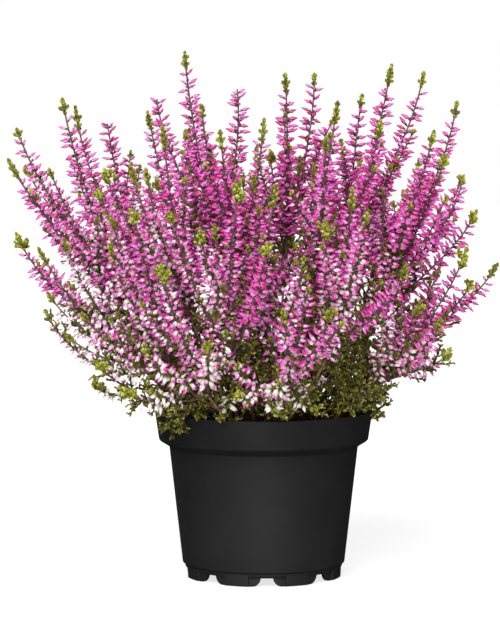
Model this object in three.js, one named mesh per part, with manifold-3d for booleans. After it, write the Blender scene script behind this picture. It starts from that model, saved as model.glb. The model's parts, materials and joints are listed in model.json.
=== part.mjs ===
/**
 * Potted heather: a bud-flowering heather in a round plastic nursery pot.
 *
 * Units are millimetres and +Z is up. The origin is on the pot's axis, on the surface that the pot
 * stands on. The plant is a ring of sprays: each has a woody stem that stands in a hole in the peat
 * and ends in a fork, and two or three flowering spikes that leave the fork.
 */
import * as THREE from "three";
import { mergeVertices } from "three/addons/utils/BufferGeometryUtils.js";
import Module from "manifold-3d";

const wasm = await Module();
wasm.setup();

// ---------------------------------------------------------------------------- driving dimensions

const AIR = 0.35; // clear gap between touching pieces

// Nursery pot
const POT_HEIGHT = 100;
const RIM_RADIUS = 65.5;
const BAND_FOOT_RADIUS = 63.1;
const BAND_FOOT_HEIGHT = 83.4;
const WALL_TOP_RADIUS = 56.8;
const WALL_TOP_HEIGHT = 78.6;
const FOOT_RADIUS = 47.4;
const FOOT_HEIGHT = 7.8;
const FOOT_INNER_RADIUS = 43.4;
const FOOT_DRAFT = 0.4; // how much narrower the foot ring is at the bottom
const STEP_OUT = 1.4;
const STEP_RISE = 0.9;
const SHOULDER_OUT = 3.2; // the sloping shoulder between the wall and the rim band
const SHOULDER_RISE = 1.6;
const BAND_LIP = 0.6; // the band's rolled lower edge
const BAND_LIP_RISE = 1.3;
const POT_WALL = 1.5;
const FLOOR_TOP = 9;
const FLOOR_BOTTOM = 7.2;
const FLOOR_DISH = 0.6;
const POT_FACETS = 32;

// Foot notches and drain holes
const NOTCHES = 8;
const NOTCH_TURN = 2.3; // degrees from the pot's own front to the middle of its nearest notch
const NOTCH_HEIGHT = 5;
const NOTCH_HALF_BOTTOM = 7.6;
const NOTCH_HALF_TOP = 3.9;
const NOTCH_ROUNDING = 1.6;
const RECESS_HEIGHT = 5.8;
const RECESS_HALF_WIDTH = 11.1;
const RECESS_DEPTH = 1.6; // at its middle; the recess is flat and the ring is round
const DRAIN_HOLES = 6;
const DRAIN_RADIUS = 3.5;
const DRAIN_RING = 30;
const DRAIN_FACETS = 8;
const CUT_MARGIN = 2; // how far a cutter reaches past what it cuts

// Peat
const PEAT_EDGE_HEIGHT = 93.4;
const PEAT_CROWN_HEIGHT = 97.4;
const PEAT_FACETS = 16;
const PEAT_RING = 40; // radius of the ring where the peat's surface bends
const PEAT_SHOULDER = 1.2; // how far above the pot's shoulder the peat follows it
const PEAT_LUMP = 0.5;
const HOLE_SIDES = 5;
const HOLE_RISE = 8; // how far a hole's cutter stands above the peat

// Woody stems
const ROOT_DEPTH = 11; // how far a stem reaches into the peat
const STEM_FOOT_RADIUS = 1.7;
const STEM_FORK_RADIUS = 1.1;
const STEM_SIDES = 5;
const KNUCKLE_RADIUS = 1.5; // the swelling where the spikes part
const BASE_SPREAD = 0.66; // millimetres from the axis for each degree of lean
const BASE_PITCH = 9; // least distance between two stems in the peat
// A shoot leaves the peat further from upright than its straight line, and turns up to its tip.
// Each is a share of that line's lean from upright: at the foot, of the fork's place, and at the tip.
const FOOT_LEAN = 1.35;
const FORK_LEAN = 1.18;
const TIP_LEAN = 0.5;
const GREATEST_LEAN = 1.17; // radians
const FORK_FOLLOW = 0.4; // how far a spike leaves the fork along the stem's way, against its own
const SWAY = 8; // width of the small bends that no two spikes share

// Flowering spikes
const SPIKE_RADIUS = 6.5;
const SPIKE_CORE = 1.9;
const BUD_PITCH = 7;
const BUD_DROOP = 1.5;
const BUD_TURN = 0.45; // radians that each whorl is turned on from the last
const BARE_LENGTH = 12; // from the fork to the first buds
const AXIS_RADIUS = 0.85;
const FOOT_FULLNESS = 0.72; // how full the lowest whorl is, and the highest
const HEAD_FULLNESS = 0.58;
const TIP_RADIUS = 3.4;
const TIP_CORE = 1.5;
const TIP_LENGTHS = [13, 8, 10]; // the leafy tips of a spray's spikes, in order

// Leafy twigs on the stems, and low leafy shoots
const TWIG_LENGTH = 24;
const TWIG_RADIUS = 2.3;
const TWIG_CORE = 0.9;
const LEAF_PITCH = 6.4;
const TWIGS_ON_STEM = [0.45, 0.8];
const TWIG_TURN = 2.4; // radians round the stem from one twig to the next
const TWIG_SPLAY = 0.7; // how far a twig stands out from its stem, against along it
const TWIG_RISE = 2; // how much a twig's tip turns up
const LEAF_TURN = 0.4; // radians that each ring of leaves is turned on from the last
const LEAF_TAPER = 0.3;
const SHOOT_LEAN = 0.61; // radians that a low shoot leans from upright where it leaves the peat
const SHOOT_CROWN = 0.62; // how far out along a low shoot it is highest

// Room that neighbours keep while the shoots settle
const SETTLE_SAMPLES = 14;
const SETTLE_ROUNDS = 160;
const SETTLE_GAIN = 0.35;
const ELBOW_ROOM = 0.7;
const SILL_WIDTH = 6; // how far inside the rim's edge a shoot already lies over the rim
const SILL_GAP = 1;
const UP = new THREE.Vector3(0, 0, 1);

/**
 * The sprays, by the places of their spike tips: to the right, to the back, and up from the
 * surface that the pot stands on. The fork lies at the given share of the way to the tips' middle.
 */
const SPRAYS = [
  // left side, from the outermost in
  { fork: 0.41, tips: [[-147, -57, 250], [-146, -12, 267], [-118, -30, 285]] },
  { fork: 0.41, tips: [[-114, 28, 280], [-145, 40, 244], [-96, 51, 272]] },
  { fork: 0.42, tips: [[-146, -20, 206], [-115, -65, 204]] },
  { fork: 0.44, tips: [[-47, 0, 312.5], [-65, 36, 287], [-16, 22, 293]] },
  { fork: 0.41, tips: [[-58, -79, 269], [-91, -77, 245], [-66, -117, 246]] },
  { fork: 0.42, tips: [[-87, -111, 203], [-73, -132, 224], [-103, -91, 164]] },
  // front
  { fork: 0.44, tips: [[0, -30, 273], [-36, -59, 281], [-25, -89, 267]] },
  { fork: 0.42, tips: [[-14, -121, 240], [1, -141, 206], [-36, -126, 212]] },
  { fork: 0.4, tips: [[-57, -138, 194], [-32, -134, 151], [-67, -121, 149]] },
  { fork: 0.4, tips: [[10, -138, 169], [37, -134, 170]] },
  { fork: 0.42, tips: [[49, -111, 235], [56, -138, 222], [79, -111, 192]] },
  { fork: 0.44, tips: [[43, -28, 283], [35, -83, 263], [67, -53, 272]] },
  { fork: 0.4, tips: [[-12, -95, 185], [22, -101, 196]] },
  // top, right side
  { fork: 0.45, tips: [[13, 6, 300], [31, 43, 300]] },
  { fork: 0.44, tips: [[76, 0, 305], [60, 38, 287], [97, 30, 301]] },
  { fork: 0.41, tips: [[114, -15, 283], [97, -61, 264], [115, -47, 238]] },
  { fork: 0.41, tips: [[106, 71, 265], [122, 40, 238], [127, 4, 218]] },
  { fork: 0.4, tips: [[120, -18, 197], [101, -73, 159], [109, -36, 139]] },
  { fork: 0.42, tips: [[144.5, 59, 183], [126, 18, 175], [111, 91, 179]] },
  // back
  { fork: 0.42, tips: [[-72, 79, 277], [-49, 113, 265], [-105, 91, 234]] },
  { fork: 0.44, tips: [[-4, 122, 254], [-44, 136, 204], [20, 138, 206]] },
  { fork: 0.41, tips: [[62, 117, 250], [14, 81, 281], [89, 111, 218]] },
  { fork: 0.42, tips: [[-93, 111, 159], [-121, 69, 171], [-57, 134, 149]] },
  { fork: 0.42, tips: [[61, 132, 161], [16, 140, 151]] },
  { fork: 0.38, tips: [[-99, -45, 123], [-132, 20, 157]] },
];

/** Low leafy shoots: where each leaves the peat, its tip, and how high it arches on the way. */
const LOW_SHOOTS = [
  { root: [-36, -36], tip: [-57, -52, 95], rise: 12 },
  { root: [-48, -20], tip: [-78, -30, 104], rise: 12 },
  { root: [50, -14], tip: [71, -18, 98], rise: 12 },
  { root: [40, -34], tip: [62, -50, 112], rise: 16 },
  { root: [10, -50], tip: [14, -66, 106], rise: 12 },
  { root: [46, 26], tip: [76, 34, 106], rise: 14 },
  { root: [-6, 52], tip: [-4, 78, 104], rise: 14 },
  { root: [-44, 30], tip: [-72, 44, 104], rise: 14 },
];

// ------------------------------------------------------------------------------------- materials

/** A plain finish. */
function finish(colour, roughness) {
  return new THREE.MeshStandardMaterial({ color: colour, roughness, metalness: 0 });
}

const potPlastic = () => finish(0x1f1f20, 0.42);
const peatBrown = () => finish(0x2a1c13, 0.95);
const stemBark = () => finish(0x5c5a2c, 0.8);
const budPink = () => finish(0xd8509f, 0.6);
const leafGreen = () => finish(0x6f7d2e, 0.7);

// ---------------------------------------------------------------------------- solids and joining

/** Makes a solid from a closed geometry, so that it can be joined or cut. */
function toSolid(geometry) {
  const bare = geometry.clone();
  bare.deleteAttribute("normal");
  bare.deleteAttribute("uv");
  const merged = mergeVertices(bare, 1e-4);
  return new wasm.Manifold(
    new wasm.Mesh({
      numProp: 3,
      vertProperties: new Float32Array(merged.attributes.position.array),
      triVerts: new Uint32Array(merged.index.array),
    }),
  );
}

/** Turns a solid back into a geometry. */
function toGeometry(solid) {
  const mesh = solid.getMesh();
  const geometry = new THREE.BufferGeometry();
  geometry.setAttribute("position", new THREE.BufferAttribute(mesh.vertProperties, 3));
  geometry.setIndex(new THREE.BufferAttribute(mesh.triVerts, 1));
  geometry.computeVertexNormals();
  return geometry;
}

/** Keeps the outer surface of a joined solid: sealed hollows are filled and loose scraps dropped. */
function outerBody(solid) {
  const shells = solid.decompose();
  return shells.reduce((best, shell) => (shell.volume() > best.volume() ? shell : best));
}

/** A lathe about +Z: the profile is a list of [radius, height], and it starts and ends on the axis. */
function turned(profile, facets) {
  const geometry = new THREE.LatheGeometry(
    profile.map(([radius, height]) => new THREE.Vector2(radius, height)),
    facets,
  );
  return toSolid(geometry.rotateX(Math.PI / 2));
}

// ------------------------------------------------------------------------------------ plain maths

/** A repeatable number from 0 to 1 for a counter and a channel. */
function chance(counter, channel) {
  const wave = Math.sin(counter * 12.9898 + channel * 78.233) * 43758.5453;
  return wave - Math.floor(wave);
}

/** Rises smoothly from 0 to 1 while value goes from low to high. */
function ramp(value, low, high) {
  return THREE.MathUtils.smoothstep(value, low, high);
}

/** The height of the peat's surface at a distance from the axis. */
function peatHeight(distance) {
  return THREE.MathUtils.lerp(PEAT_CROWN_HEIGHT, PEAT_EDGE_HEIGHT, (distance / RIM_RADIUS) ** 2);
}

/** The unit direction that leans from upright by one angle towards a turn about the axis. */
function leaning(lean, turn) {
  return new THREE.Vector3(
    Math.sin(lean) * Math.cos(turn),
    Math.sin(lean) * Math.sin(turn),
    Math.cos(lean),
  );
}

// -------------------------------------------------------------------------------------- the pot

/** The pot's wall, floor and foot ring, before the foot is cut. */
function potShell() {
  return turned(
    [
      [0, FLOOR_BOTTOM],
      [FOOT_INNER_RADIUS, FLOOR_BOTTOM],
      [FOOT_INNER_RADIUS, 0],
      [FOOT_RADIUS - FOOT_DRAFT, 0],
      [FOOT_RADIUS, FOOT_HEIGHT],
      [FOOT_RADIUS + STEP_OUT, FOOT_HEIGHT + STEP_RISE],
      [WALL_TOP_RADIUS, WALL_TOP_HEIGHT],
      [WALL_TOP_RADIUS + SHOULDER_OUT, WALL_TOP_HEIGHT + SHOULDER_RISE],
      [BAND_FOOT_RADIUS - BAND_LIP, BAND_FOOT_HEIGHT - BAND_LIP_RISE],
      [BAND_FOOT_RADIUS, BAND_FOOT_HEIGHT],
      [RIM_RADIUS, POT_HEIGHT],
      [RIM_RADIUS - POT_WALL, POT_HEIGHT],
      [BAND_FOOT_RADIUS - POT_WALL - FOOT_DRAFT, BAND_FOOT_HEIGHT + STEP_RISE],
      [WALL_TOP_RADIUS - POT_WALL, WALL_TOP_HEIGHT + SHOULDER_RISE],
      [FOOT_RADIUS + STEP_OUT - POT_WALL, FLOOR_TOP + FLOOR_DISH],
      [0, FLOOR_TOP],
    ],
    POT_FACETS,
  );
}

/** A block that cuts a window through the foot ring, with its concave corners rounded. */
function notchBlock() {
  const shape = new THREE.Shape();
  shape.moveTo(-NOTCH_HALF_BOTTOM, -CUT_MARGIN);
  shape.lineTo(NOTCH_HALF_BOTTOM, -CUT_MARGIN);
  shape.lineTo(NOTCH_HALF_TOP + NOTCH_ROUNDING, NOTCH_HEIGHT - NOTCH_ROUNDING);
  shape.lineTo(NOTCH_HALF_TOP, NOTCH_HEIGHT);
  shape.lineTo(-NOTCH_HALF_TOP, NOTCH_HEIGHT);
  shape.lineTo(-NOTCH_HALF_TOP - NOTCH_ROUNDING, NOTCH_HEIGHT - NOTCH_ROUNDING);
  shape.closePath();
  const depth = FOOT_RADIUS - FOOT_INNER_RADIUS + 2 * CUT_MARGIN;
  const geometry = new THREE.ExtrudeGeometry(shape, { depth, bevelEnabled: false });
  geometry.rotateX(Math.PI / 2);
  geometry.translate(0, FOOT_RADIUS + CUT_MARGIN, 0);
  return toSolid(geometry);
}

/** A block that sinks a shallow recess in the outside of the foot ring. */
function recessBlock() {
  const height = RECESS_HEIGHT + CUT_MARGIN;
  const geometry = new THREE.BoxGeometry(2 * RECESS_HALF_WIDTH, 2 * CUT_MARGIN, height);
  geometry.translate(0, FOOT_RADIUS - RECESS_DEPTH + CUT_MARGIN, height / 2 - CUT_MARGIN);
  return toSolid(geometry);
}

/** The whole nursery pot. */
function makePot() {
  let pot = potShell();
  const notch = notchBlock();
  const recess = recessBlock();
  for (let i = 0; i < NOTCHES; i++) {
    const turn = (360 / NOTCHES) * i + NOTCH_TURN;
    pot = pot.subtract(recess.rotate([0, 0, turn])).subtract(notch.rotate([0, 0, turn]));
  }
  const depth = FLOOR_TOP + FLOOR_DISH - FLOOR_BOTTOM + 2 * CUT_MARGIN;
  const hole = new THREE.CylinderGeometry(DRAIN_RADIUS, DRAIN_RADIUS, depth, DRAIN_FACETS);
  hole.rotateX(Math.PI / 2).translate(DRAIN_RING, 0, FLOOR_BOTTOM - CUT_MARGIN + depth / 2);
  const drain = toSolid(hole);
  for (let i = 0; i < DRAIN_HOLES; i++) {
    pot = pot.subtract(drain.rotate([0, 0, (360 / DRAIN_HOLES) * i]));
  }
  return pot;
}

// ------------------------------------------------------------------------------- paths of growth

/** A stem, spike or twig: a curve, the room it needs, and how far its four points may move. */
class Growth {
  constructor({ family, points, room, free, lifted = true }) {
    this.family = family;
    this.points = points;
    this.curve = new THREE.CubicBezierCurve3(...points);
    this.room = room;
    this.free = free;
    this.lifted = lifted;
  }

  /** The weights of the four points at a share of the way along. */
  static weights(at) {
    const rest = 1 - at;
    return [rest ** 3, 3 * rest * rest * at, 3 * rest * at * at, at ** 3];
  }
}

/** Points spread evenly along every path, with the room that each needs. */
function samplesOf(growths) {
  return growths.flatMap((growth) =>
    Array.from({ length: SETTLE_SAMPLES }, (_, j) => {
      const at = (j + 0.5) / SETTLE_SAMPLES;
      return { growth, at, place: growth.curve.getPoint(at), radius: growth.room(at) };
    }),
  );
}

/** How far a sample of a spike or twig has to rise to lie clear of the peat and the rim. */
function liftOf({ growth, place, radius }) {
  const distance = Math.hypot(place.x, place.y);
  if (!growth.lifted || distance >= RIM_RADIUS + radius) return 0;
  const sill = distance > RIM_RADIUS - SILL_WIDTH ? POT_HEIGHT : peatHeight(distance);
  return Math.max(0, sill + radius + SILL_GAP - place.z);
}

/** Half of the move that would part two samples that are too close, or null where they are clear. */
function partingOf(one, other) {
  if (one.growth.family === other.growth.family) return null;
  const need = one.radius + other.radius + ELBOW_ROOM;
  const apart = one.place.clone().sub(other.place);
  const distance = apart.length();
  return distance < need ? apart.multiplyScalar((need - distance) / (2 * distance)) : null;
}

/**
 * Bends the paths clear of each other. Each round, wherever two paths of different families come
 * closer than their two radii and some elbow room, the movable points near that place are pushed
 * apart. Spikes and twigs are lifted clear of the peat and the rim as well.
 */
function settle(growths) {
  for (let round = 0; round < SETTLE_ROUNDS; round++) {
    const samples = samplesOf(growths);
    const pushes = new Map();
    const push = ({ growth, at }, move, sign) => {
      const weights = Growth.weights(at);
      growth.points.forEach((point, k) => {
        const total = pushes.get(point) ?? new THREE.Vector3();
        pushes.set(point, total.addScaledVector(move, sign * weights[k] * growth.free[k]));
      });
    };
    samples.forEach((one, i) => {
      push(one, UP, liftOf(one));
      for (const other of samples.slice(i + 1)) {
        const parting = partingOf(one, other);
        if (parting) {
          push(one, parting, 1);
          push(other, parting, -1);
        }
      }
    });
    pushes.forEach((move, point) => point.addScaledVector(move, SETTLE_GAIN));
  }
}

/** Spreads the feet of the stems over the peat until none is closer to another than the pitch. */
function spreadFeet(feet) {
  for (let round = 0; round < SETTLE_ROUNDS; round++) {
    for (let a = 0; a < feet.length; a++) {
      for (let b = a + 1; b < feet.length; b++) {
        const apart = feet[a].clone().sub(feet[b]);
        const lack = BASE_PITCH - apart.length();
        if (lack > 0) {
          apart.setLength(lack / 2);
          feet[a].add(apart);
          feet[b].sub(apart);
        }
      }
    }
  }
}

/** The room a spike needs along its way: slim at the fork, full where it flowers. */
function spikeRoom(at) {
  return THREE.MathUtils.lerp(KNUCKLE_RADIUS, SPIKE_RADIUS, ramp(at, 0.02, 0.12));
}

/** The room a leafy twig needs along its way. */
function twigRoom(at) {
  return at < 0.12 ? TWIG_CORE : TWIG_RADIUS;
}

/** Where one spray's tips and their middle are, and about where its stem stands in the peat. */
function layOutSpray({ fork, tips }, number) {
  const places = tips.map((tip) => new THREE.Vector3(...tip));
  const middle = new THREE.Vector3();
  for (const place of places) {
    middle.addScaledVector(place, 1 / places.length);
  }
  const { lean, turn } = bearing(middle.clone().setZ(middle.z - PEAT_CROWN_HEIGHT));
  const reach = BASE_SPREAD * THREE.MathUtils.radToDeg(lean);
  const foot = new THREE.Vector2(reach * Math.cos(turn), reach * Math.sin(turn));
  return { number, tips: places, middle, foot, forkShare: fork };
}

/** How a straight line leans from upright, and which way it turns about the axis. */
function bearing(line) {
  return { lean: Math.atan2(Math.hypot(line.x, line.y), line.z), turn: Math.atan2(line.y, line.x) };
}

/** Gives a laid-out spray its curves, once its foot has found its place. */
function growSpray(spray) {
  const { number, tips, middle, foot } = spray;
  const base = new THREE.Vector3(foot.x, foot.y, peatHeight(foot.length()));
  const line = middle.clone().sub(base);
  const { lean, turn } = bearing(line);
  const first = leaning(Math.min(FOOT_LEAN * lean, GREATEST_LEAN), turn);
  const onward = leaning(lean, turn);
  const toFork = leaning(Math.min(FORK_LEAN * lean, GREATEST_LEAN), turn);
  const fork = base.clone().addScaledVector(toFork, spray.forkShare * line.length());
  const third = base.distanceTo(fork) / 3;
  spray.first = first;
  spray.sideways = new THREE.Vector3(-Math.sin(turn), Math.cos(turn), 0);
  spray.fork = fork;
  spray.stem = new Growth({
    family: spray,
    points: [
      base,
      base.clone().addScaledVector(first, third),
      fork.clone().addScaledVector(onward, -third),
      fork,
    ],
    room: () => STEM_FOOT_RADIUS,
    free: [0, 0.5, 1, 1],
    lifted: false,
  });
  spray.spikes = tips.map((tip, i) => {
    const way = tip.clone().sub(fork);
    const step = way.length() / 3;
    const start = way.clone().normalize().addScaledVector(onward, FORK_FOLLOW).normalize();
    const overall = bearing(tip.clone().sub(base));
    const end = leaning(TIP_LEAN * overall.lean, overall.turn);
    const sway = new THREE.Vector3(
      chance(number, i) - 0.5,
      chance(number, i + 3) - 0.5,
      chance(number, i + 6) - 0.5,
    ).multiplyScalar(SWAY);
    return new Growth({
      family: spray,
      points: [
        fork,
        fork.clone().addScaledVector(start, step),
        tip.clone().addScaledVector(end, -step).add(sway),
        tip,
      ],
      room: spikeRoom,
      free: [1, 1, 1, 0],
    });
  });
  return spray;
}

// ------------------------------------------------------------------------------ skins along paths

/**
 * A closed skin round a curve. Each station gives a distance along the curve and two radii: points
 * take the outer and the inner one in turn round the ring, and swap from ring to ring, so that the
 * outer points stand up as pointed scales. The skin closes in a point at both ends.
 */
function skin(curve, stations, { sides, sideways, turnPerRing = 0, end = curve.getLength() }) {
  const length = curve.getLength();
  const stands = (ring, side) => (ring + side) % 2 === 0;
  const positions = stations.flatMap(({ distance, inner, outer, droop = 0 }, ring) => {
    const centre = curve.getPointAt(distance / length);
    const tangent = curve.getTangentAt(distance / length);
    const across = sideways.clone().addScaledVector(tangent, -sideways.dot(tangent)).normalize();
    const over = tangent.clone().cross(across);
    return Array.from({ length: sides }, (_, side) => {
      const angle = (2 * Math.PI * side) / sides + ring * turnPerRing;
      const radius = stands(ring, side) ? outer : inner;
      return centre
        .clone()
        .addScaledVector(across, radius * Math.cos(angle))
        .addScaledVector(over, radius * Math.sin(angle))
        .addScaledVector(tangent, stands(ring, side) ? -droop : 0);
    });
  });
  const triangles = [];
  const lastRing = (stations.length - 1) * sides;
  const startPoint = positions.push(curve.getPointAt(stations[0].distance / length)) - 1;
  const endPoint = positions.push(curve.getPointAt(end / length)) - 1;
  for (let side = 0; side < sides; side++) {
    const next = (side + 1) % sides;
    for (let ring = 0; ring < stations.length - 1; ring++) {
      const [a, b] = [ring * sides + side, ring * sides + next];
      const [c, d] = [b + sides, a + sides];
      triangles.push(...(stands(ring, side) ? [a, b, d, b, c, d] : [a, b, c, a, c, d]));
    }
    triangles.push(startPoint, next, side, endPoint, lastRing + side, lastRing + next);
  }
  const geometry = new THREE.BufferGeometry().setFromPoints(positions);
  geometry.setIndex(triangles);
  return toSolid(geometry);
}

/** The stations of a spike: a bare foot, whorls of buds, and a leafy tip. */
function spikeStations(length, tipLength) {
  const stations = [{ distance: 0, inner: AXIS_RADIUS, outer: AXIS_RADIUS }];
  const flowered = length - tipLength - BARE_LENGTH;
  const whorls = Math.round(flowered / BUD_PITCH);
  for (let i = 0; i <= whorls; i++) {
    const share = i / whorls;
    const swelling = THREE.MathUtils.lerp(FOOT_FULLNESS, 1, ramp(share, 0, 0.2));
    const fullness = swelling * THREE.MathUtils.lerp(1, HEAD_FULLNESS, ramp(share, 0.7, 1));
    stations.push({
      distance: BARE_LENGTH + share * flowered,
      inner: SPIKE_CORE * (0.8 + 0.2 * fullness),
      outer: SPIKE_RADIUS * fullness,
      droop: BUD_DROOP,
    });
  }
  for (const share of [0.35, 0.8]) {
    stations.push({
      distance: length - tipLength * (1 - share),
      inner: TIP_CORE,
      outer: TIP_RADIUS * (1.1 - 0.5 * share),
    });
  }
  return stations;
}

/** The stations of a leafy twig: scale leaves stand out all along it. */
function leafyStations(length, core, spread) {
  const rings = Math.max(3, Math.round(length / LEAF_PITCH));
  return Array.from({ length: rings }, (_, i) => {
    const share = (i + 0.15) / rings;
    return {
      distance: share * length,
      inner: core * (1 - LEAF_TAPER * share),
      outer: THREE.MathUtils.lerp(core, spread, ramp(share, 0, 0.25)) * (1 - LEAF_TAPER * share),
    };
  });
}

/** One spray's flowering spikes, joined in the knuckle at the fork. */
function makeFlowers(spray) {
  const knuckle = new THREE.IcosahedronGeometry(KNUCKLE_RADIUS, 0);
  knuckle.translate(spray.fork.x, spray.fork.y, spray.fork.z);
  let solid = toSolid(knuckle);
  spray.spikes.forEach((spike, i) => {
    const stations = spikeStations(spike.curve.getLength(), TIP_LENGTHS[i]);
    const form = { sides: 4, sideways: spray.sideways, turnPerRing: BUD_TURN };
    solid = solid.add(skin(spike.curve, stations, form));
  });
  return outerBody(solid);
}

/** A path that runs straight through the peat, and then along its curve. */
function rootedPath(curve, first) {
  const base = curve.v0;
  const path = new THREE.CurvePath();
  path.add(new THREE.LineCurve3(base.clone().addScaledVector(first, -ROOT_DEPTH), base));
  path.add(curve);
  return path;
}

/** A woody stem: it tapers from its foot in the peat to just short of the knuckle at the fork. */
function stemSkin({ stem, first, sideways }) {
  const path = rootedPath(stem.curve, first);
  const end = path.getLength() - KNUCKLE_RADIUS - AIR;
  const stations = [0, 0.25, 0.6, 0.99].map((share) => {
    const radius = THREE.MathUtils.lerp(STEM_FOOT_RADIUS, STEM_FORK_RADIUS, share);
    return { distance: share * end, inner: radius, outer: radius };
  });
  return skin(path, stations, { sides: STEM_SIDES, sideways, end });
}

/** The twigs of a stem, as paths that start inside it. */
function layOutTwigs(spray) {
  return TWIGS_ON_STEM.map((share, i) => {
    const start = spray.stem.curve.getPoint(share);
    const along = spray.stem.curve.getTangent(share);
    const across = spray.sideways.clone();
    const over = along.clone().cross(across).normalize();
    const turn = TWIG_TURN * (i + 1) + spray.number;
    const outward = across.multiplyScalar(Math.cos(turn)).addScaledVector(over, Math.sin(turn));
    const way = along.clone().addScaledVector(outward, TWIG_SPLAY).normalize();
    const length = TWIG_LENGTH * (0.8 + 0.4 * chance(spray.number, i + 9));
    const tip = start.clone().addScaledVector(way, length);
    tip.z += TWIG_RISE;
    return new Growth({
      family: spray,
      points: [
        start,
        start.clone().addScaledVector(way, length / 3),
        tip.clone().addScaledVector(way, -length / 3),
        tip,
      ],
      room: twigRoom,
      free: [0, 0.3, 1, 1],
    });
  });
}

/** One spray's woody stem with its leafy twigs, standing in the peat. */
function makeStem(spray) {
  let solid = stemSkin(spray);
  const form = { sides: 4, sideways: spray.sideways, turnPerRing: LEAF_TURN };
  for (const twig of spray.twigs) {
    const stations = leafyStations(twig.curve.getLength(), TWIG_CORE, TWIG_RADIUS);
    solid = solid.add(skin(twig.curve, stations, form));
  }
  return outerBody(solid);
}

/** The path of a low leafy shoot: up out of the peat, over towards the rim, and down to its tip. */
function layOutLowShoot(shoot, number) {
  const [x, y] = shoot.root;
  const base = new THREE.Vector3(x, y, peatHeight(Math.hypot(x, y)));
  const tip = new THREE.Vector3(...shoot.tip);
  const turn = Math.atan2(tip.y - y, tip.x - x);
  const first = leaning(SHOOT_LEAN, turn);
  const over = base.clone().lerp(tip, SHOOT_CROWN);
  over.z += shoot.rise;
  const growth = new Growth({
    family: shoot,
    points: [base, base.clone().addScaledVector(first, shoot.rise), over, tip],
    room: twigRoom,
    free: [0, 0.5, 1, 0],
  });
  const sideways = new THREE.Vector3(-Math.sin(turn), Math.cos(turn), 0);
  return { number, growth, first, sideways };
}

/** A low leafy shoot, with its straight foot in the peat. */
function makeLowShoot({ growth, first, sideways }) {
  const path = rootedPath(growth.curve, first);
  const bare = ROOT_DEPTH + 2;
  const leafy = leafyStations(path.getLength() - bare, TWIG_CORE, TWIG_RADIUS);
  const stations = [
    { distance: 0, inner: TWIG_CORE, outer: TWIG_CORE },
    { distance: ROOT_DEPTH, inner: TWIG_CORE, outer: TWIG_CORE },
    ...leafy.map((station) => ({ ...station, distance: station.distance + bare })),
  ];
  return skin(path, stations, { sides: 4, sideways, turnPerRing: LEAF_TURN });
}

// --------------------------------------------------------------------------------------- the peat

/** The plain hole that one stem stands in, along the way that the stem leaves the peat. */
function stemHole({ base, first, radius }) {
  const depth = ROOT_DEPTH + AIR;
  const height = depth + HOLE_RISE;
  const wide = (radius + AIR) / Math.cos(Math.PI / HOLE_SIDES);
  const hole = new THREE.CylinderGeometry(wide, wide, height, HOLE_SIDES);
  hole.translate(0, height / 2 - depth, 0);
  const upright = new THREE.Vector3(0, 1, 0);
  hole.applyQuaternion(new THREE.Quaternion().setFromUnitVectors(upright, first));
  hole.translate(base.x, base.y, base.z);
  return toSolid(hole);
}

/** The peat, with a plain hole for each stem and low shoot. */
function makePeat(feet) {
  const wall = POT_WALL + AIR;
  let peat = turned(
    [
      [0, FLOOR_TOP + AIR],
      [FOOT_RADIUS - wall, FLOOR_TOP + FLOOR_DISH + AIR],
      [WALL_TOP_RADIUS - wall - AIR, WALL_TOP_HEIGHT + PEAT_SHOULDER],
      [BAND_FOOT_RADIUS - wall - 2 * AIR, BAND_FOOT_HEIGHT + PEAT_SHOULDER],
      [BAND_FOOT_RADIUS - wall - AIR, PEAT_EDGE_HEIGHT],
      [PEAT_RING, peatHeight(PEAT_RING)],
      [0, PEAT_CROWN_HEIGHT],
    ],
    PEAT_FACETS,
  );
  peat = peat.warp((vertex) => {
    const distance = Math.hypot(vertex[0], vertex[1]);
    if (vertex[2] > PEAT_EDGE_HEIGHT + 0.2 && distance > 1) {
      vertex[2] += PEAT_LUMP * Math.sin(vertex[0] * 0.9) * Math.cos(vertex[1] * 0.7);
    }
  });
  return feet.reduce((solid, foot) => solid.subtract(stemHole(foot)), peat);
}

// ------------------------------------------------------------------------------------ the object

/** A named mesh of one solid. */
function piece(name, solid, material) {
  const mesh = new THREE.Mesh(toGeometry(solid), material);
  mesh.name = name;
  return mesh;
}

/** A number with two digits. */
function twoDigits(number) {
  return String(number).padStart(2, "0");
}

const laidOut = SPRAYS.map((spray, i) => layOutSpray(spray, i + 1));
spreadFeet(laidOut.map((spray) => spray.foot));
const sprays = laidOut.map(growSpray);
const lowShoots = LOW_SHOOTS.map((shoot, i) => layOutLowShoot(shoot, i + 1));
const mainPaths = [
  ...sprays.flatMap((spray) => [spray.stem, ...spray.spikes]),
  ...lowShoots.map((shoot) => shoot.growth),
];
settle(mainPaths);
for (const path of mainPaths) {
  path.free = [0, 0, 0, 0];
}
for (const spray of sprays) {
  spray.twigs = layOutTwigs(spray);
}
settle([...mainPaths, ...sprays.flatMap((spray) => spray.twigs)]);

const feet = [
  ...sprays.map(({ stem, first }) => ({ base: stem.points[0], first, radius: STEM_FOOT_RADIUS })),
  ...lowShoots.map(({ growth, first }) => ({ base: growth.points[0], first, radius: TWIG_CORE })),
];

const heather = new THREE.Group();
heather.add(piece("pot", makePot(), potPlastic()));
heather.add(piece("peat", makePeat(feet), peatBrown()));
for (const spray of sprays) {
  const label = `spray_${twoDigits(spray.number)}`;
  heather.add(piece(`${label}_stem`, makeStem(spray), stemBark()));
  heather.add(piece(`${label}_flowers`, makeFlowers(spray), budPink()));
}
for (const shoot of lowShoots) {
  heather.add(piece(`low_shoot_${shoot.number}`, makeLowShoot(shoot), leafGreen()));
}

export default heather;
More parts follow.
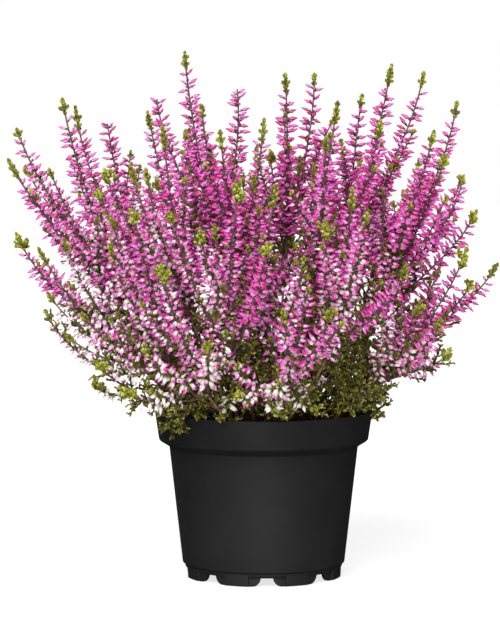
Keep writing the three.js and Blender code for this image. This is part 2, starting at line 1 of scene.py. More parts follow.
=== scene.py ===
"""Potted heather, dressed: a bud-flowering heather in a round plastic nursery pot.

The plant is laid out in millimetres, in the frame of the CAD model, and its meshes are written in
metres. Each spray is two pieces. Its wood is the stem with its leafy twigs and short flowering
shoots, and its blooms are the spikes that leave the fork, with their buds and leafy tips.
"""

import json
import logging
from dataclasses import dataclass, field
from enum import Enum
from typing import Callable, Sequence

import bpy
import numpy as np
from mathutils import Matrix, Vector

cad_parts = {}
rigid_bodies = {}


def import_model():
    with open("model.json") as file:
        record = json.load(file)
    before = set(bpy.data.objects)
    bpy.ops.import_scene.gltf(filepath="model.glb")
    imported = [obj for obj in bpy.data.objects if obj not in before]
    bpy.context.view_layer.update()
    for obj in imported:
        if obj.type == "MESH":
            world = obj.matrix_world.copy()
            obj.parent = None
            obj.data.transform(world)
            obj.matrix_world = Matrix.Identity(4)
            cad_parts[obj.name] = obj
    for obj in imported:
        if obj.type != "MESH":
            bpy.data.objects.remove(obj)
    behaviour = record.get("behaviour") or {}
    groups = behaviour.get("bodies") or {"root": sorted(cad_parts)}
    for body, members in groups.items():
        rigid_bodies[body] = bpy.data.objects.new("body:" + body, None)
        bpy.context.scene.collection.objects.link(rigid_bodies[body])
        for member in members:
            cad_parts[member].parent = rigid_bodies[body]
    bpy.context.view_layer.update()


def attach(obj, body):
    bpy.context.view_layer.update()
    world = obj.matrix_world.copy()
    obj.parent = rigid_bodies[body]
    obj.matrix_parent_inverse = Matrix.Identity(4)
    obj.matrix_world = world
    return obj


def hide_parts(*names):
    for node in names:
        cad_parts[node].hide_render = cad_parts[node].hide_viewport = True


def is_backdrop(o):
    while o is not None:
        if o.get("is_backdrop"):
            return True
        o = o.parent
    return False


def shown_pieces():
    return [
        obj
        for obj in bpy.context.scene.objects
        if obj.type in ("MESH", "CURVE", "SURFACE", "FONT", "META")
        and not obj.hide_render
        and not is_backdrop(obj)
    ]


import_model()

log = logging.getLogger("heather")

MM = 0.001  # metres in a millimetre
TURN = 2 * np.pi
CURVE_POINTS = 40  # on a cubic curve
CHANCE_STEPS = (12.9898, 78.233)  # what a counter and a channel add to the angle in chance()
CHANCE_HEIGHT = 43758.5453
UP = np.array([0.0, 0.0, 1.0])
Array = np.ndarray

# ---------------------------- the CAD's own sizes

AIR = 0.35
POT_HEIGHT = 100.0
RIM_RADIUS = 65.5
BAND_FOOT_RADIUS = 63.1
BAND_FOOT_HEIGHT = 83.4
WALL_TOP_RADIUS = 56.8
WALL_TOP_HEIGHT = 78.6
FOOT_RADIUS = 47.4
FOOT_HEIGHT = 7.8
FOOT_INNER_RADIUS = 43.4
POT_WALL = 1.5
FLOOR_TOP = 9.0
FLOOR_BOTTOM = 7.2
PEAT_EDGE_HEIGHT = 93.4
PEAT_CROWN_HEIGHT = 97.4
ROOT_DEPTH = 11.0


# ---------------------------- plain maths


def ramp(value: Array | float, low: float, high: float) -> Array:
    """Rises smoothly from 0 to 1 while value goes from low to high: 3s^2 - 2s^3 of the share s."""
    share = np.clip((np.asarray(value, float) - low) / (high - low), 0.0, 1.0)
    return share * share * (3.0 - 2.0 * share)


def mix(low: Array | float, high: Array | float, share: Array | float) -> Array:
    """The value that lies a share of the way from low to high."""
    return low + (high - low) * share


def unit(vectors: Array) -> Array:
    """The same directions, one long."""
    return vectors / np.maximum(np.linalg.norm(vectors, axis=-1, keepdims=True), 1e-12)


def chance(counter: Array | float, channel: Array | float) -> Array:
    """A repeatable number from 0 to 1: the fraction of a large multiple of a sine."""
    by_counter, by_channel = CHANCE_STEPS
    angle = np.asarray(counter) * by_counter + np.asarray(channel) * by_channel
    wave = np.sin(angle) * CHANCE_HEIGHT
    return wave - np.floor(wave)


def leaning(lean: float, turn: float) -> Array:
    """The unit direction that leans from upright by one angle towards a turn about the axis."""
    return np.array([np.sin(lean) * np.cos(turn), np.sin(lean) * np.sin(turn), np.cos(lean)])


def bearing(line: Array) -> tuple[float, float]:
    """How a straight line leans from upright, and which way it turns about the axis."""
    x, y, z = line
    return float(np.arctan2(np.hypot(x, y), z)), float(np.arctan2(y, x))


def round_turn(count: int) -> Array:
    """Angles at equal steps round a full turn: 2 pi i / count."""
    return TURN * np.arange(count) / count


def sideways_of(turn: float) -> Array:
    """The level direction square to a turn about the axis."""
    return np.array([-np.sin(turn), np.cos(turn), 0.0])


def peat_height(distance: Array | float) -> Array:
    """The height of the peat at a distance from the axis: it falls with the distance squared."""
    return mix(PEAT_CROWN_HEIGHT, PEAT_EDGE_HEIGHT, (np.asarray(distance) / RIM_RADIUS) ** 2)


def bezier_weights(at: Array) -> Array:
    """The weights of a cubic curve's four points at the shares in at: (1-t)^3, 3(1-t)^2 t, ..."""
    rest = 1.0 - at
    return np.stack([rest**3, 3 * rest**2 * at, 3 * rest * at**2, at**3], axis=-1)


# ---------------------------- paths through space


@dataclass
class Path:
    """A smooth line through space, held as close points in order.

    Attributes:
        points: the points, one row each, in millimetres.
        sideways: a direction that isn't along the line, from which its frames are turned.
    """

    points: Array
    sideways: Array
    reach: Array = field(init=False)

    def __post_init__(self) -> None:
        """Measures how far along the line each point lies."""
        steps = np.linalg.norm(np.diff(self.points, axis=0), axis=1)
        self.reach = np.concatenate([[0.0], np.cumsum(steps)])

    @property
    def length(self) -> float:
        """The length of the line."""
        return float(self.reach[-1])

    def frames(self, distances: Array) -> tuple[Array, Array]:
        """Places on the line, and the frame at each: rows across, over and along.

        Along is the line's own direction. Across is the sideways direction with its share of along
        taken off, and over is along crossed with across.

        Args:
            distances: how far along the line each place lies.

        Returns:
            The places, n by 3, and the frames, n by 3 by 3.
        """
        slopes = unit(np.gradient(self.points, self.reach, axis=0))
        places = np.stack([np.interp(distances, self.reach, c) for c in self.points.T], axis=-1)
        along = unit(np.stack([np.interp(distances, self.reach, c) for c in slopes.T], axis=-1))
        across = unit(self.sideways - along * (along @ self.sideways)[:, None])
        return places, np.stack([across, np.cross(along, across), along], axis=1)

    @staticmethod
    def bezier(points: Array, sideways: Array) -> "Path":
        """A cubic curve by its four points."""
        return Path(bezier_weights(np.linspace(0.0, 1.0, CURVE_POINTS)) @ points, sideways)

    @staticmethod
    def arching(start: Array, way: Array, length: float, rise: float, count: int = 9) -> "Path":
        """A line that starts along a way and bends up: start + way * s + up * rise * s^2."""
        share = np.linspace(0.0, 1.0, count)[:, None]
        turn = np.arctan2(way[1], way[0])
        return Path(start + way * length * share + UP * rise * share**2, sideways_of(turn))


# ---------------------------- small forms


@dataclass(frozen=True)
class Form:
    """A small closed form, one long and one wide, that is copied many times.

    Attributes:
        points: its points; z runs along it from 0 to 1, x and y across it from -0.5 to 0.5.
        faces: three point numbers a face.
        corners: the place of each face's corners on a map one wide and one high.
        ribs: 1 for each point on a rib, 0 in the grooves and at the ends.
    """

    points: Array
    faces: Array
    corners: Array
    ribs: Array


def ring_faces(rings: int, sides: int) -> tuple[Array, Array]:
    """The triangles of a skin of rings that closes in a point at both ends.

    Ring r holds points r * sides to r * sides + sides - 1. The foot and the head follow them. Two
    triangles fill each square between rings, and a fan closes each end.

    Args:
        rings: how many rings.
        sides: how many points each ring has.

    Returns:
        The faces, and their corners' places on the map: u round the ring, v from foot to head.
    """
    side = np.arange(sides)
    after = (side + 1) % sides
    ring = np.arange(rings - 1)[:, None]
    a, b = ring * sides + side, ring * sides + after
    foot, head = rings * sides + 0 * side, rings * sides + 1 + 0 * side
    last = (rings - 1) * sides
    faces = [
        [a, b, b + sides],
        [a, b + sides, a + sides],
        [foot, after, side],
        [head, last + side, last + after],
    ]
    low, high = side / sides, (side + 1) / sides
    middle = (low + high) / 2
    u_low, u_high = low + 0 * ring, high + 0 * ring
    v_low, v_high = (ring + 1) / (rings + 1) + 0 * side, (ring + 2) / (rings + 1) + 0 * side
    end = rings / (rings + 1) + 0 * low
    corners = [
        [u_low, v_low, u_high, v_low, u_high, v_high],
        [u_low, v_low, u_high, v_high, u_low, v_high],
        [middle, 0 * low, high, 1 - end, low, 1 - end],
        [middle, 1 + 0 * low, low, end, high, end],
    ]
    return (
        np.concatenate([np.stack(f, -1).reshape(-1, 3) for f in faces]),
        np.concatenate([np.stack(c, -1).reshape(-1, 3, 2) for c in corners]),
    )


def turned_form(
    rings: Sequence[tuple[float, float]], sides: int,
    bend: float = 0.0, groove: float = 1.0, twist: float = 0.0,
) -> Form:
    """A form turned about z: each ring is a height from 0 to 1 and a width from 0 to 1.

    Ring j's point i lies at half its width, times the groove where i is odd, at the angle
    2 pi i / sides + j twist. The bend then moves points along y by bend times height squared.

    Args:
        rings: (height, width) of each ring between the foot at 0 and the head at 1.
        sides: points in a ring.
        bend: how far the head is moved along y.
        groove: width between the ribs, as a share of the width on them.
        twist: how far each ring is turned on from the last.

    Returns:
        The form.
    """
    height, width = (np.array(c)[:, None] for c in zip(*rings))
    side = np.arange(sides)
    odd = side % 2
    angle = round_turn(sides) + twist * np.arange(len(rings))[:, None]
    out = 0.5 * width * np.where(odd, groove, 1.0)
    skin = np.stack([out * np.cos(angle), out * np.sin(angle), height + 0 * angle], -1)
    points = np.concatenate([skin.reshape(-1, 3), [[0, 0, 0], [0, 0, 1]]])
    points[:, 1] += bend * points[:, 2] ** 2
    faces, corners = ring_faces(len(rings), sides)
    ribs = np.concatenate([np.tile(1.0 - odd, len(rings)), [0.0, 0.5]])
    return Form(points, faces, corners, ribs)


BUD = turned_form([(0.08, 0.64), (0.32, 1.0), (0.66, 0.58)], sides=4, bend=0.1, groove=0.86)
BRACTS = turned_form([(0.76, 1.0)], sides=4)
LEAF = turned_form([(0.42, 1.0)], sides=3, bend=-0.12)
SPRIG = turned_form([(0.22, 0.78), (0.72, 1.0)], sides=4, twist=np.pi / 4)
SCALES = turned_form(
    [(0.06, 0.62), (0.2, 1.0), (0.34, 0.6), (0.52, 0.96), (0.66, 0.56), (0.86, 0.84)],
    sides=4,
    twist=np.pi / 4,
)
CRUMB = turned_form([(0.45, 1.0)], sides=5, bend=0.1)


# ---------------------------- meshes from arrays


class Surface(Enum):
    """What a stretch of a plant's mesh is made of."""

    BARK = 0
    LEAF = 1
    BUD = 2


@dataclass
class Stretch:
    """One skin, or many copies of one form, waiting to be put in a mesh."""

    points: Array  # copies, points, 3
    faces: Array
    corners: Array
    along: Array  # copies, points
    ribs: Array  # points
    draw: Array  # copies
    tone: Array  # copies
    surface: Surface
    small: bool


class MeshHeap:
    """Gathers skins and copied forms, and makes one mesh of them.

    Every point carries four numbers that the finishes read. Along runs from 0 at the foot of each
    bud, leaf or stem to 1 at its head. Ribs is 1 on a bud's ribs. Draw is a seeded draw for each of
    them. Tone says how pale a bud is, how young a leaf is, or how old a stem is.
    """

    STRIP_SHARE = 0.2  # of the map's height, kept for the long skins
    INSET = 0.08  # clear edge round each cell of the map
    ENDS = np.array([[-0.3], [0.6]])  # how far a tube's foot and head stand out, in radii

    def __init__(self) -> None:
        """Starts with nothing."""
        self.stretches: list[Stretch] = []

    def skin(
        self, path: Path, distances: Array, radii: Array, sides: int,
        surface: Surface, draw: float, tone: float,
    ) -> None:
        """Adds a tube along a path: ring j is centre + radius_j * (across cos a + over sin a).

        Args:
            path: the line that it follows.
            distances: how far along the path each ring lies.
            radii: the radius of each ring.
            sides: points in a ring.
            surface: what it is made of.
            draw: its draw.
            tone: its tone.
        """
        centres, frames = path.frames(distances)
        angle = round_turn(sides)[:, None]
        across, over = frames[:, None, 0], frames[:, None, 1]
        around = np.cos(angle) * across + np.sin(angle) * over
        rings = centres[:, None] + radii[:, None, None] * around
        share = (distances - distances[0]) / (distances[-1] - distances[0])
        ends = centres[[0, -1]] + frames[[0, -1], 2] * self.ENDS * radii[[0, -1]][:, None]
        points = np.concatenate([rings.reshape(-1, 3), ends])
        along = np.concatenate([np.repeat(share, sides), [0.0, 1.0]])
        self.shell(points, sides, along, surface, draw, tone)

    def shell(
        self, points: Array, sides: int, along: Array, surface: Surface, draw: float, tone: float
    ) -> None:
        """Adds a skin of rings that closes in a point at both ends.

        Args:
            points: the rings' points in order, then the foot and the head.
            sides: points in a ring.
            along: how far along the skin each point lies.
            surface: what it is made of.
            draw: its draw.
            tone: its tone.
        """
        faces, corners = ring_faces((len(points) - 2) // sides, sides)
        numbers = (np.array([draw]), np.array([tone]))
        self.stretches.append(
            Stretch(points[None], faces, corners, along[None], 0 * along, *numbers, surface, False)
        )

    def copies(
        self, form: Form, places: Array, frames: Array, sizes: Array,
        surface: Surface, draw: Array, tone: Array,
    ) -> None:
        """Adds a copy of a form at each place: place + x across + y over + z along, by its sizes.

        Args:
            form: the small form.
            places: n by 3.
            frames: n by 3 by 3, rows across, over and along.
            sizes: n by 3, width, depth and length.
            surface: what it is made of.
            draw: a draw for each copy.
            tone: a tone for each copy.
        """
        local = form.points[None] * sizes[:, None]
        points = places[:, None] + np.einsum("npk,nkc->npc", local, frames)
        along = np.broadcast_to(form.points[:, 2], points.shape[:2])
        numbers = (along, form.ribs, draw, tone)
        self.stretches.append(Stretch(points, form.faces, form.corners, *numbers, surface, True))

    def _corners(self) -> Array:
        """Gives every copy a cell of its own in a square map, and every skin a strip above them."""
        cells = sum(len(s.points) for s in self.stretches if s.small)
        strips = max(1, sum(not s.small for s in self.stretches))
        columns = max(1, int(np.ceil(np.sqrt(cells / (1 - self.STRIP_SHARE)))))
        floor = np.ceil(cells / columns) / columns
        cell, strip = 0, 0
        found = []
        for s in self.stretches:
            if s.small:
                number = cell + np.arange(len(s.points))
                origin = np.stack([number % columns, number // columns], -1) / columns
                size = np.array([1 / columns, 1 / columns])
                cell += len(s.points)
            else:
                origin = np.array([[strip / strips, floor]])
                size = np.array([1 / strips, 1 - floor])
                strip += 1
            inside = self.INSET + (1 - 2 * self.INSET) * s.corners
            found.append((origin[:, None, None] + inside[None] * size).reshape(-1, 2))
        return np.concatenate(found)

    def build(self, name: str, finishes: Sequence[bpy.types.Material]) -> bpy.types.Object:
        """Makes the mesh object, with its numbers, its map and its finishes.

        Args:
            name: the object's name.
            finishes: a material for each Surface, in order.

        Returns:
            The object.
        """
        points = np.concatenate([s.points.reshape(-1, 3) for s in self.stretches]) * MM
        faces, start = [], 0
        for s in self.stretches:
            copies, size = s.points.shape[:2]
            firsts = start + size * np.arange(copies)[:, None, None]
            faces.append((firsts + s.faces).reshape(-1, 3))
            start += copies * size
        counts = [len(f) for f in faces]
        mesh = mesh_from(name, points, np.concatenate(faces))
        surfaces = [s.surface.value for s in self.stretches]
        smooth = [s.surface is not Surface.LEAF or not s.small for s in self.stretches]
        mesh.polygons.foreach_set("material_index", np.repeat(surfaces, counts).astype(np.int32))
        mesh.polygons.foreach_set("use_smooth", np.repeat(smooth, counts))
        numbers = {
            "along": [s.along.reshape(-1) for s in self.stretches],
            "ribs": [np.tile(s.ribs, len(s.points)) for s in self.stretches],
            "draw": [np.repeat(s.draw, s.points.shape[1]) for s in self.stretches],
            "tone": [np.repeat(s.tone, s.points.shape[1]) for s in self.stretches],
        }
        for label, parts in numbers.items():
            attribute = mesh.attributes.new(label, "FLOAT", "POINT")
            attribute.data.foreach_set("value", np.concatenate(parts).astype(np.float32))
        corners = self._corners().astype(np.float32).ravel()
        mesh.uv_layers.new(name="OFBake").uv.foreach_set("vector", corners)
        for finish in finishes:
            mesh.materials.append(finish)
        return placed(name, mesh)


def mesh_from(name: str, points: Array, faces: Array) -> bpy.types.Mesh:
    """Writes points in metres and faces with the same number of corners into a new mesh."""
    mesh = bpy.data.meshes.new(name)
    mesh.vertices.add(len(points))
    mesh.vertices.foreach_set("co", points.astype(np.float32).ravel())
    mesh.loops.add(faces.size)
    mesh.loops.foreach_set("vertex_index", faces.astype(np.int32).ravel())
    mesh.polygons.add(len(faces))
    starts = np.arange(0, faces.size, faces.shape[1], dtype=np.int32)
    mesh.polygons.foreach_set("loop_start", starts)
    mesh.update(calc_edges=True)
    return mesh


def placed(name: str, mesh: bpy.types.Mesh) -> bpy.types.Object:
    """Puts a mesh in the scene as an object at the origin."""
    piece = bpy.data.objects.new(name, mesh)
    bpy.context.scene.collection.objects.link(piece)
    return piece


# ---------------------------- shader maths


class Wire:
    """A node's output that can be written in sums. Each sum adds a Math node."""

    def __init__(self, board: "Nodes", socket: bpy.types.NodeSocket) -> None:
        """Wraps a socket of a node tree."""
        self.board = board
        self.socket = socket

    def __add__(self, other: "Wire | float") -> "Wire":
        """Sum."""
        return self.board.math("ADD", self, other)

    def __sub__(self, other: "Wire | float") -> "Wire":
        """Difference."""
        return self.board.math("SUBTRACT", self, other)

    def __rsub__(self, other: float) -> "Wire":
        """A number less this."""
        return self.board.math("SUBTRACT", other, self)

    def __mul__(self, other: "Wire | float") -> "Wire":
        """Product."""
        return self.board.math("MULTIPLY", self, other)

    def __truediv__(self, other: "Wire | float") -> "Wire":
        """Quotient."""
        return self.board.math("DIVIDE", self, other)

    __radd__ = __add__
    __rmul__ = __mul__

    def clamped(self) -> "Wire":
        """Kept from 0 to 1."""
        return self.board.node("ShaderNodeClamp", {}, {"Value": self})

    def stepped(self, low: float, high: float) -> "Wire":
        """Rises smoothly from 0 to 1 while this goes from low to high."""
        settings = {"interpolation_type": "SMOOTHSTEP"}
        sockets = {"Value": self, "From Min": low, "From Max": high}
        return self.board.node("ShaderNodeMapRange", settings, sockets)


def linear(colour: str) -> tuple[float, float, float, float]:
    """A colour written as six hexadecimal digits of sRGB, as linear light with full alpha."""
    values = np.array([int(colour[i : i + 2], 16) for i in (0, 2, 4)]) / 255
    light = np.where(values <= 0.04045, values / 12.92, ((values + 0.055) / 1.055) ** 2.4)
    return (*(float(v) for v in light), 1.0)


class Nodes:
    """A node tree that is written as sums of wires."""

    def __init__(self, tree: bpy.types.NodeTree) -> None:
        """Takes the tree over."""
        self.tree = tree

    def feed(self, socket: bpy.types.NodeSocket, value: "Wire | object") -> None:
        """Links a wire to a socket, or sets the socket's value."""
        if isinstance(value, Wire):
            self.tree.links.new(value.socket, socket)
        else:
            socket.default_value = value

    def node(
        self,
        kind: str,
        settings: dict[str, object],
        sockets: dict[str | int, object],
        output: str | int = 0,
    ) -> Wire:
        """Adds a node.

        Args:
            kind: the node's type.
            settings: its own settings, set first.
            sockets: values or wires for its inputs, by name or number.
            output: which output to take.

        Returns:
            The output, as a wire.
        """
        made = self.tree.nodes.new(kind)
        for label, value in settings.items():
            setattr(made, label, value)
        for label, value in sockets.items():
            self.feed(made.inputs[label], value)
        return Wire(self, made.outputs[output])

    def math(self, operation: str, one: Wire | float, other: Wire | float) -> Wire:
        """Adds a Math node."""
        return self.node("ShaderNodeMath", {"operation": operation}, {0: one, 1: other})

    def blend(self, share: Wire | float, low: Wire | str, high: Wire | str) -> Wire:
        """Mixes two colours."""
        low, high = (linear(c) if isinstance(c, str) else c for c in (low, high))
        settings = {"data_type": "RGBA", "clamp_factor": True}
        return self.node("ShaderNodeMix", settings, {0: share, 6: low, 7: high}, 2)


class Board(Nodes):
    """The node tree of one material, with a Principled shader at its end."""

    def __init__(self, name: str) -> None:
        """Makes the material with its shader and output."""
        self.material = bpy.data.materials.new(name)
        self.material.use_nodes = True
        super().__init__(self.material.node_tree)
        self.tree.nodes.clear()
        self.shader = self.tree.nodes.new("ShaderNodeBsdfPrincipled")
        output = self.tree.nodes.new("ShaderNodeOutputMaterial")
        self.tree.links.new(self.shader.outputs[0], output.inputs["Surface"])

    def attribute(self, name: str) -> Wire:
        """A number that the mesh carries."""
        return self.node("ShaderNodeAttribute", {"attribute_name": name}, {}, "Fac")

    def place(self, stretch: tuple[float, float, float] = (1.0, 1.0, 1.0)) -> Wire:
        """Object coordinates, stretched."""
        found = self.node("ShaderNodeTexCoord", {}, {}, "Object")
        return self.node("ShaderNodeMapping", {}, {"Vector": found, "Scale": stretch})

    def noise(self, place: Wire, scale: float, detail: float = 2.0, roughness: float = 0.5) -> Wire:
        """Cloudy noise from 0 to 1, with scale waves in a metre."""
        sockets = {"Vector": place, "Scale": scale, "Detail": detail, "Roughness": roughness}
        return self.node("ShaderNodeTexNoise", {"noise_dimensions": "3D"}, sockets, "Fac")

    def bump(self, height: Wire, distance: float) -> None:
        """Raises the surface by a height, in metres at 1."""
        sockets = {"Height": height, "Distance": distance}
        self.set("Normal", self.node("ShaderNodeBump", {}, sockets, "Normal"))

    def set(self, label: str, value: Wire | object) -> None:
        """Sets or links one socket of the shader."""
        self.feed(self.shader.inputs[label], value)

    def finished(
        self, colour: Wire, roughness: Wire, specular: float, height: Wire, distance: float
    ) -> bpy.types.Material:
        """Gives the shader its looks.

        Args:
            colour: its base colour.
            roughness: its roughness.
            specular: its specular level, the same all over.
            height: the height of its bumps.
            distance: how high they are at 1, in metres.

        Returns:
            The material.
        """
        self.set("Base Color", colour)
        self.set("Roughness", roughness)
        self.set("Specular IOR Level", specular)
        self.bump(height, distance)
        return self.material


# ---------------------------- finishes


@dataclass(frozen=True)
class PotPlastic:
    """Moulded black plastic: nearly even, with faint flow marks and a trace of dust."""

    black: str = "151516"
    dusty: str = "1c1c1e"
    roughness: float = 0.6
    relief: float = 0.00006

    def material(self) -> bpy.types.Material:
        """Makes the material."""
        board = Board("pot_plastic")
        place = board.place()
        flow = board.noise(board.place((0.25, 0.25, 1.0)), 420.0, 3.0)
        haze = board.noise(place, 38.0, 4.0, 0.6)
        grain = board.noise(place, 2600.0, 2.0)
        dust = haze.stepped(0.42, 0.8) * 0.5 + flow.stepped(0.5, 0.75) * 0.25
        colour = board.blend(dust, self.black, self.dusty)
        roughness = (self.roughness - 0.06) + haze * 0.12 + flow * 0.06
        return board.finished(colour, roughness, 0.5, grain * 0.3 + flow * 0.7, self.relief)


@dataclass(frozen=True)
class PeatFinish:
    """Moist brown peat: dark, fibrous, with redder and paler crumbs."""

    dark: str = "120a06"
    brown: str = "33200f"
    red: str = "5a2c16"
    pale: str = "6b5138"
    relief: float = 0.0007

    def material(self) -> bpy.types.Material:
        """Makes the material."""
        board = Board("peat_crumbs")
        place = board.place()
        draw = board.attribute("draw")
        clouds = board.noise(place, 210.0, 6.0, 0.65)
        threads = board.noise(board.place((0.35, 1.0, 1.0)), 1300.0, 3.0, 0.6)
        specks = board.noise(place, 900.0, 2.0)
        body = board.blend(clouds.stepped(0.35, 0.68), self.dark, self.brown)
        body = board.blend(draw.stepped(0.4, 1.0) * 0.8, body, self.red)
        body = board.blend(specks.stepped(0.62, 0.8) * draw.stepped(0.5, 1.0), body, self.pale)
        height = clouds * 0.6 + threads * 0.4
        return board.finished(body, 0.8 + threads * 0.18, 0.2, height, self.relief)


@dataclass(frozen=True)
class BudFinish:
    """Closed buds: pale at the foot, pink over most of their length, deeper at the point.

    Four folded petals show as ribs. The ribs are paler than the grooves between them, partly from a
    paler stripe of their own and partly from a painted highlight along each rib.
    """

    cream: str = "f6f4ea"
    blush: str = "f6c3e4"
    pink: str = "df32aa"
    rose: str = "c81272"
    lilac: str = "da66ce"
    deep: str = "a4066a"
    # the pale rib colour: partly the petals' own, partly a painted highlight
    light: str = "fcb2ea"
    change: float = 0.34  # how much of a bud's length its foot takes to turn pink
    relief: float = 0.0001

    def material(self) -> bpy.types.Material:
        """Makes the material: the paler a bud, the further from its foot its pink starts."""
        board = Board("bud_petals")
        along, draw, tone, ribs = (board.attribute(n) for n in ("along", "draw", "tone", "ribs"))
        mottle = board.noise(board.place(), 1100.0, 2.0)
        edge = tone * 1.15 - 0.18 + (mottle - 0.5) * 0.3
        share = ((along - edge) / self.change).clamped()
        hue = board.blend((1 - draw).stepped(0.66, 0.84), self.pink, self.rose)
        hue = board.blend((draw.stepped(0.6, 0.95) * 0.6 + tone * 0.6).clamped(), hue, self.lilac)
        # pale lower ribs: partly the petals' own paler stripe, partly a painted highlight
        pale_stripe_and_highlight = ribs.stepped(0.3, 1.0) * (1 - along.stepped(0.4, 0.85))
        hue = board.blend(pale_stripe_and_highlight * (0.36 + draw * 0.5), hue, self.light)
        pale = board.blend(tone.stepped(0.12, 0.5), self.blush, self.cream)
        point = along.stepped(0.6, 1.0) * (1.15 - tone).clamped() * 0.8
        colour = board.blend(share, pale, board.blend(point, hue, self.deep))
        height = mottle * 0.6 + ribs * 0.4
        return board.finished(colour, 0.48 + mottle * 0.14, 0.35, height, self.relief)


@dataclass(frozen=True)
class BarkFinish:
    """Heather bark: purple-brown where it is young, red-brown lower, straw where it is oldest."""

    young: str = "76445a"
    red: str = "9a5e5a"
    straw: str = "b08c66"
    dark: str = "40222c"
    relief: float = 0.00015

    def material(self) -> bpy.types.Material:
        """Makes the material."""
        board = Board("heather_bark")
        draw, tone = board.attribute("draw"), board.attribute("tone")
        streak = board.noise(board.place((1.0, 1.0, 0.3)), 1500.0, 3.0, 0.6)
        patch = board.noise(board.place(), 160.0, 2.0)
        body = board.blend(tone.stepped(0.25, 0.8), self.young, self.red)
        body = board.blend(tone.stepped(0.5, 1.0) * draw.stepped(0.6, 1.0), body, self.straw)
        worn = streak.stepped(0.45, 0.75) * 0.5 + patch.stepped(0.45, 0.75) * 0.3
        colour = board.blend(worn, body, self.dark)
        return board.finished(colour, 0.55 + streak * 0.2, 0.5, streak, self.relief)


@dataclass(frozen=True)
class LeafFinish:
    """Scale leaves: dark olive when old, yellow-green when young, cream or brown at the point."""

    old: str = "33320e"
    mid: str = "62631e"
    young: str = "94982c"
    fresh: str = "bcc848"
    cream: str = "d2bd84"
    brown: str = "8a5a3e"
    shade: str = "1e1a0b"
    relief: float = 0.0001

    def material(self) -> bpy.types.Material:
        """Makes the material."""
        board = Board("scale_leaves")
        along, draw, tone = (board.attribute(n) for n in ("along", "draw", "tone"))
        mottle = board.noise(board.place(), 1100.0, 2.0)
        age = (tone + (draw - 0.5) * 0.35 + (mottle - 0.5) * 0.25).clamped()
        colour = board.blend(age.stepped(0.0, 0.4), self.old, self.mid)
        colour = board.blend(age.stepped(0.35, 0.8), colour, self.young)
        colour = board.blend(age.stepped(0.75, 1.0), colour, self.fresh)
        # painted shade: the foot of each leaf, sprig and column of scales is darkened where it
        # meets the stem
        colour = board.blend((1 - along).stepped(0.55, 1.0) * 0.65, colour, self.shade)
        tip = along.stepped(0.7, 1.0)
        colour = board.blend(tip * draw.stepped(0.55, 0.9) * 0.8, colour, self.cream)
        colour = board.blend(tip * (1 - draw).stepped(0.7, 0.95), colour, self.brown)
        return board.finished(colour, 0.5 + mottle * 0.15, 0.3, mottle, self.relief)


@dataclass(frozen=True)
class FloorFinish:
    """A plain pale studio floor that is lit from beneath, so that shadows on it stay faint."""

    pale: str = "a4a4a4"
    glow: float = 0.74

    def material(self) -> bpy.types.Material:
        """Makes the material."""
        board = Board("studio_floor")
        cloud = board.noise(board.place(), 3.0, 2.0)
        board.set("Base Color", board.blend(cloud * 0.06, self.pale, "ffffff"))
        board.set("Roughness", 0.9)
        board.set("Specular IOR Level", 0.0)
        board.set("Emission Color", (1.0, 1.0, 1.0, 1.0))
        board.set("Emission Strength", self.glow)
        return board.material


# ---------------------------- how it all grows


@dataclass(frozen=True)
class SprayPlan:
    """Where one spray's spikes end, in millimetres.

    Attributes:
        fork: how far along the way to the tips' middle the stem forks.
        tips: the end of each spike.
        budded: which spikes end in buds, with no leafy tip.
        more: the ends of slimmer spikes that leave the same fork.
        sparse: whether it is mostly leafy, with few and small buds.
    """

    fork: float
    tips: tuple[tuple[float, float, float], ...]
    budded: tuple[int, ...] = ()
    more: tuple[tuple[float, float, float], ...] = ()
    sparse: bool = False


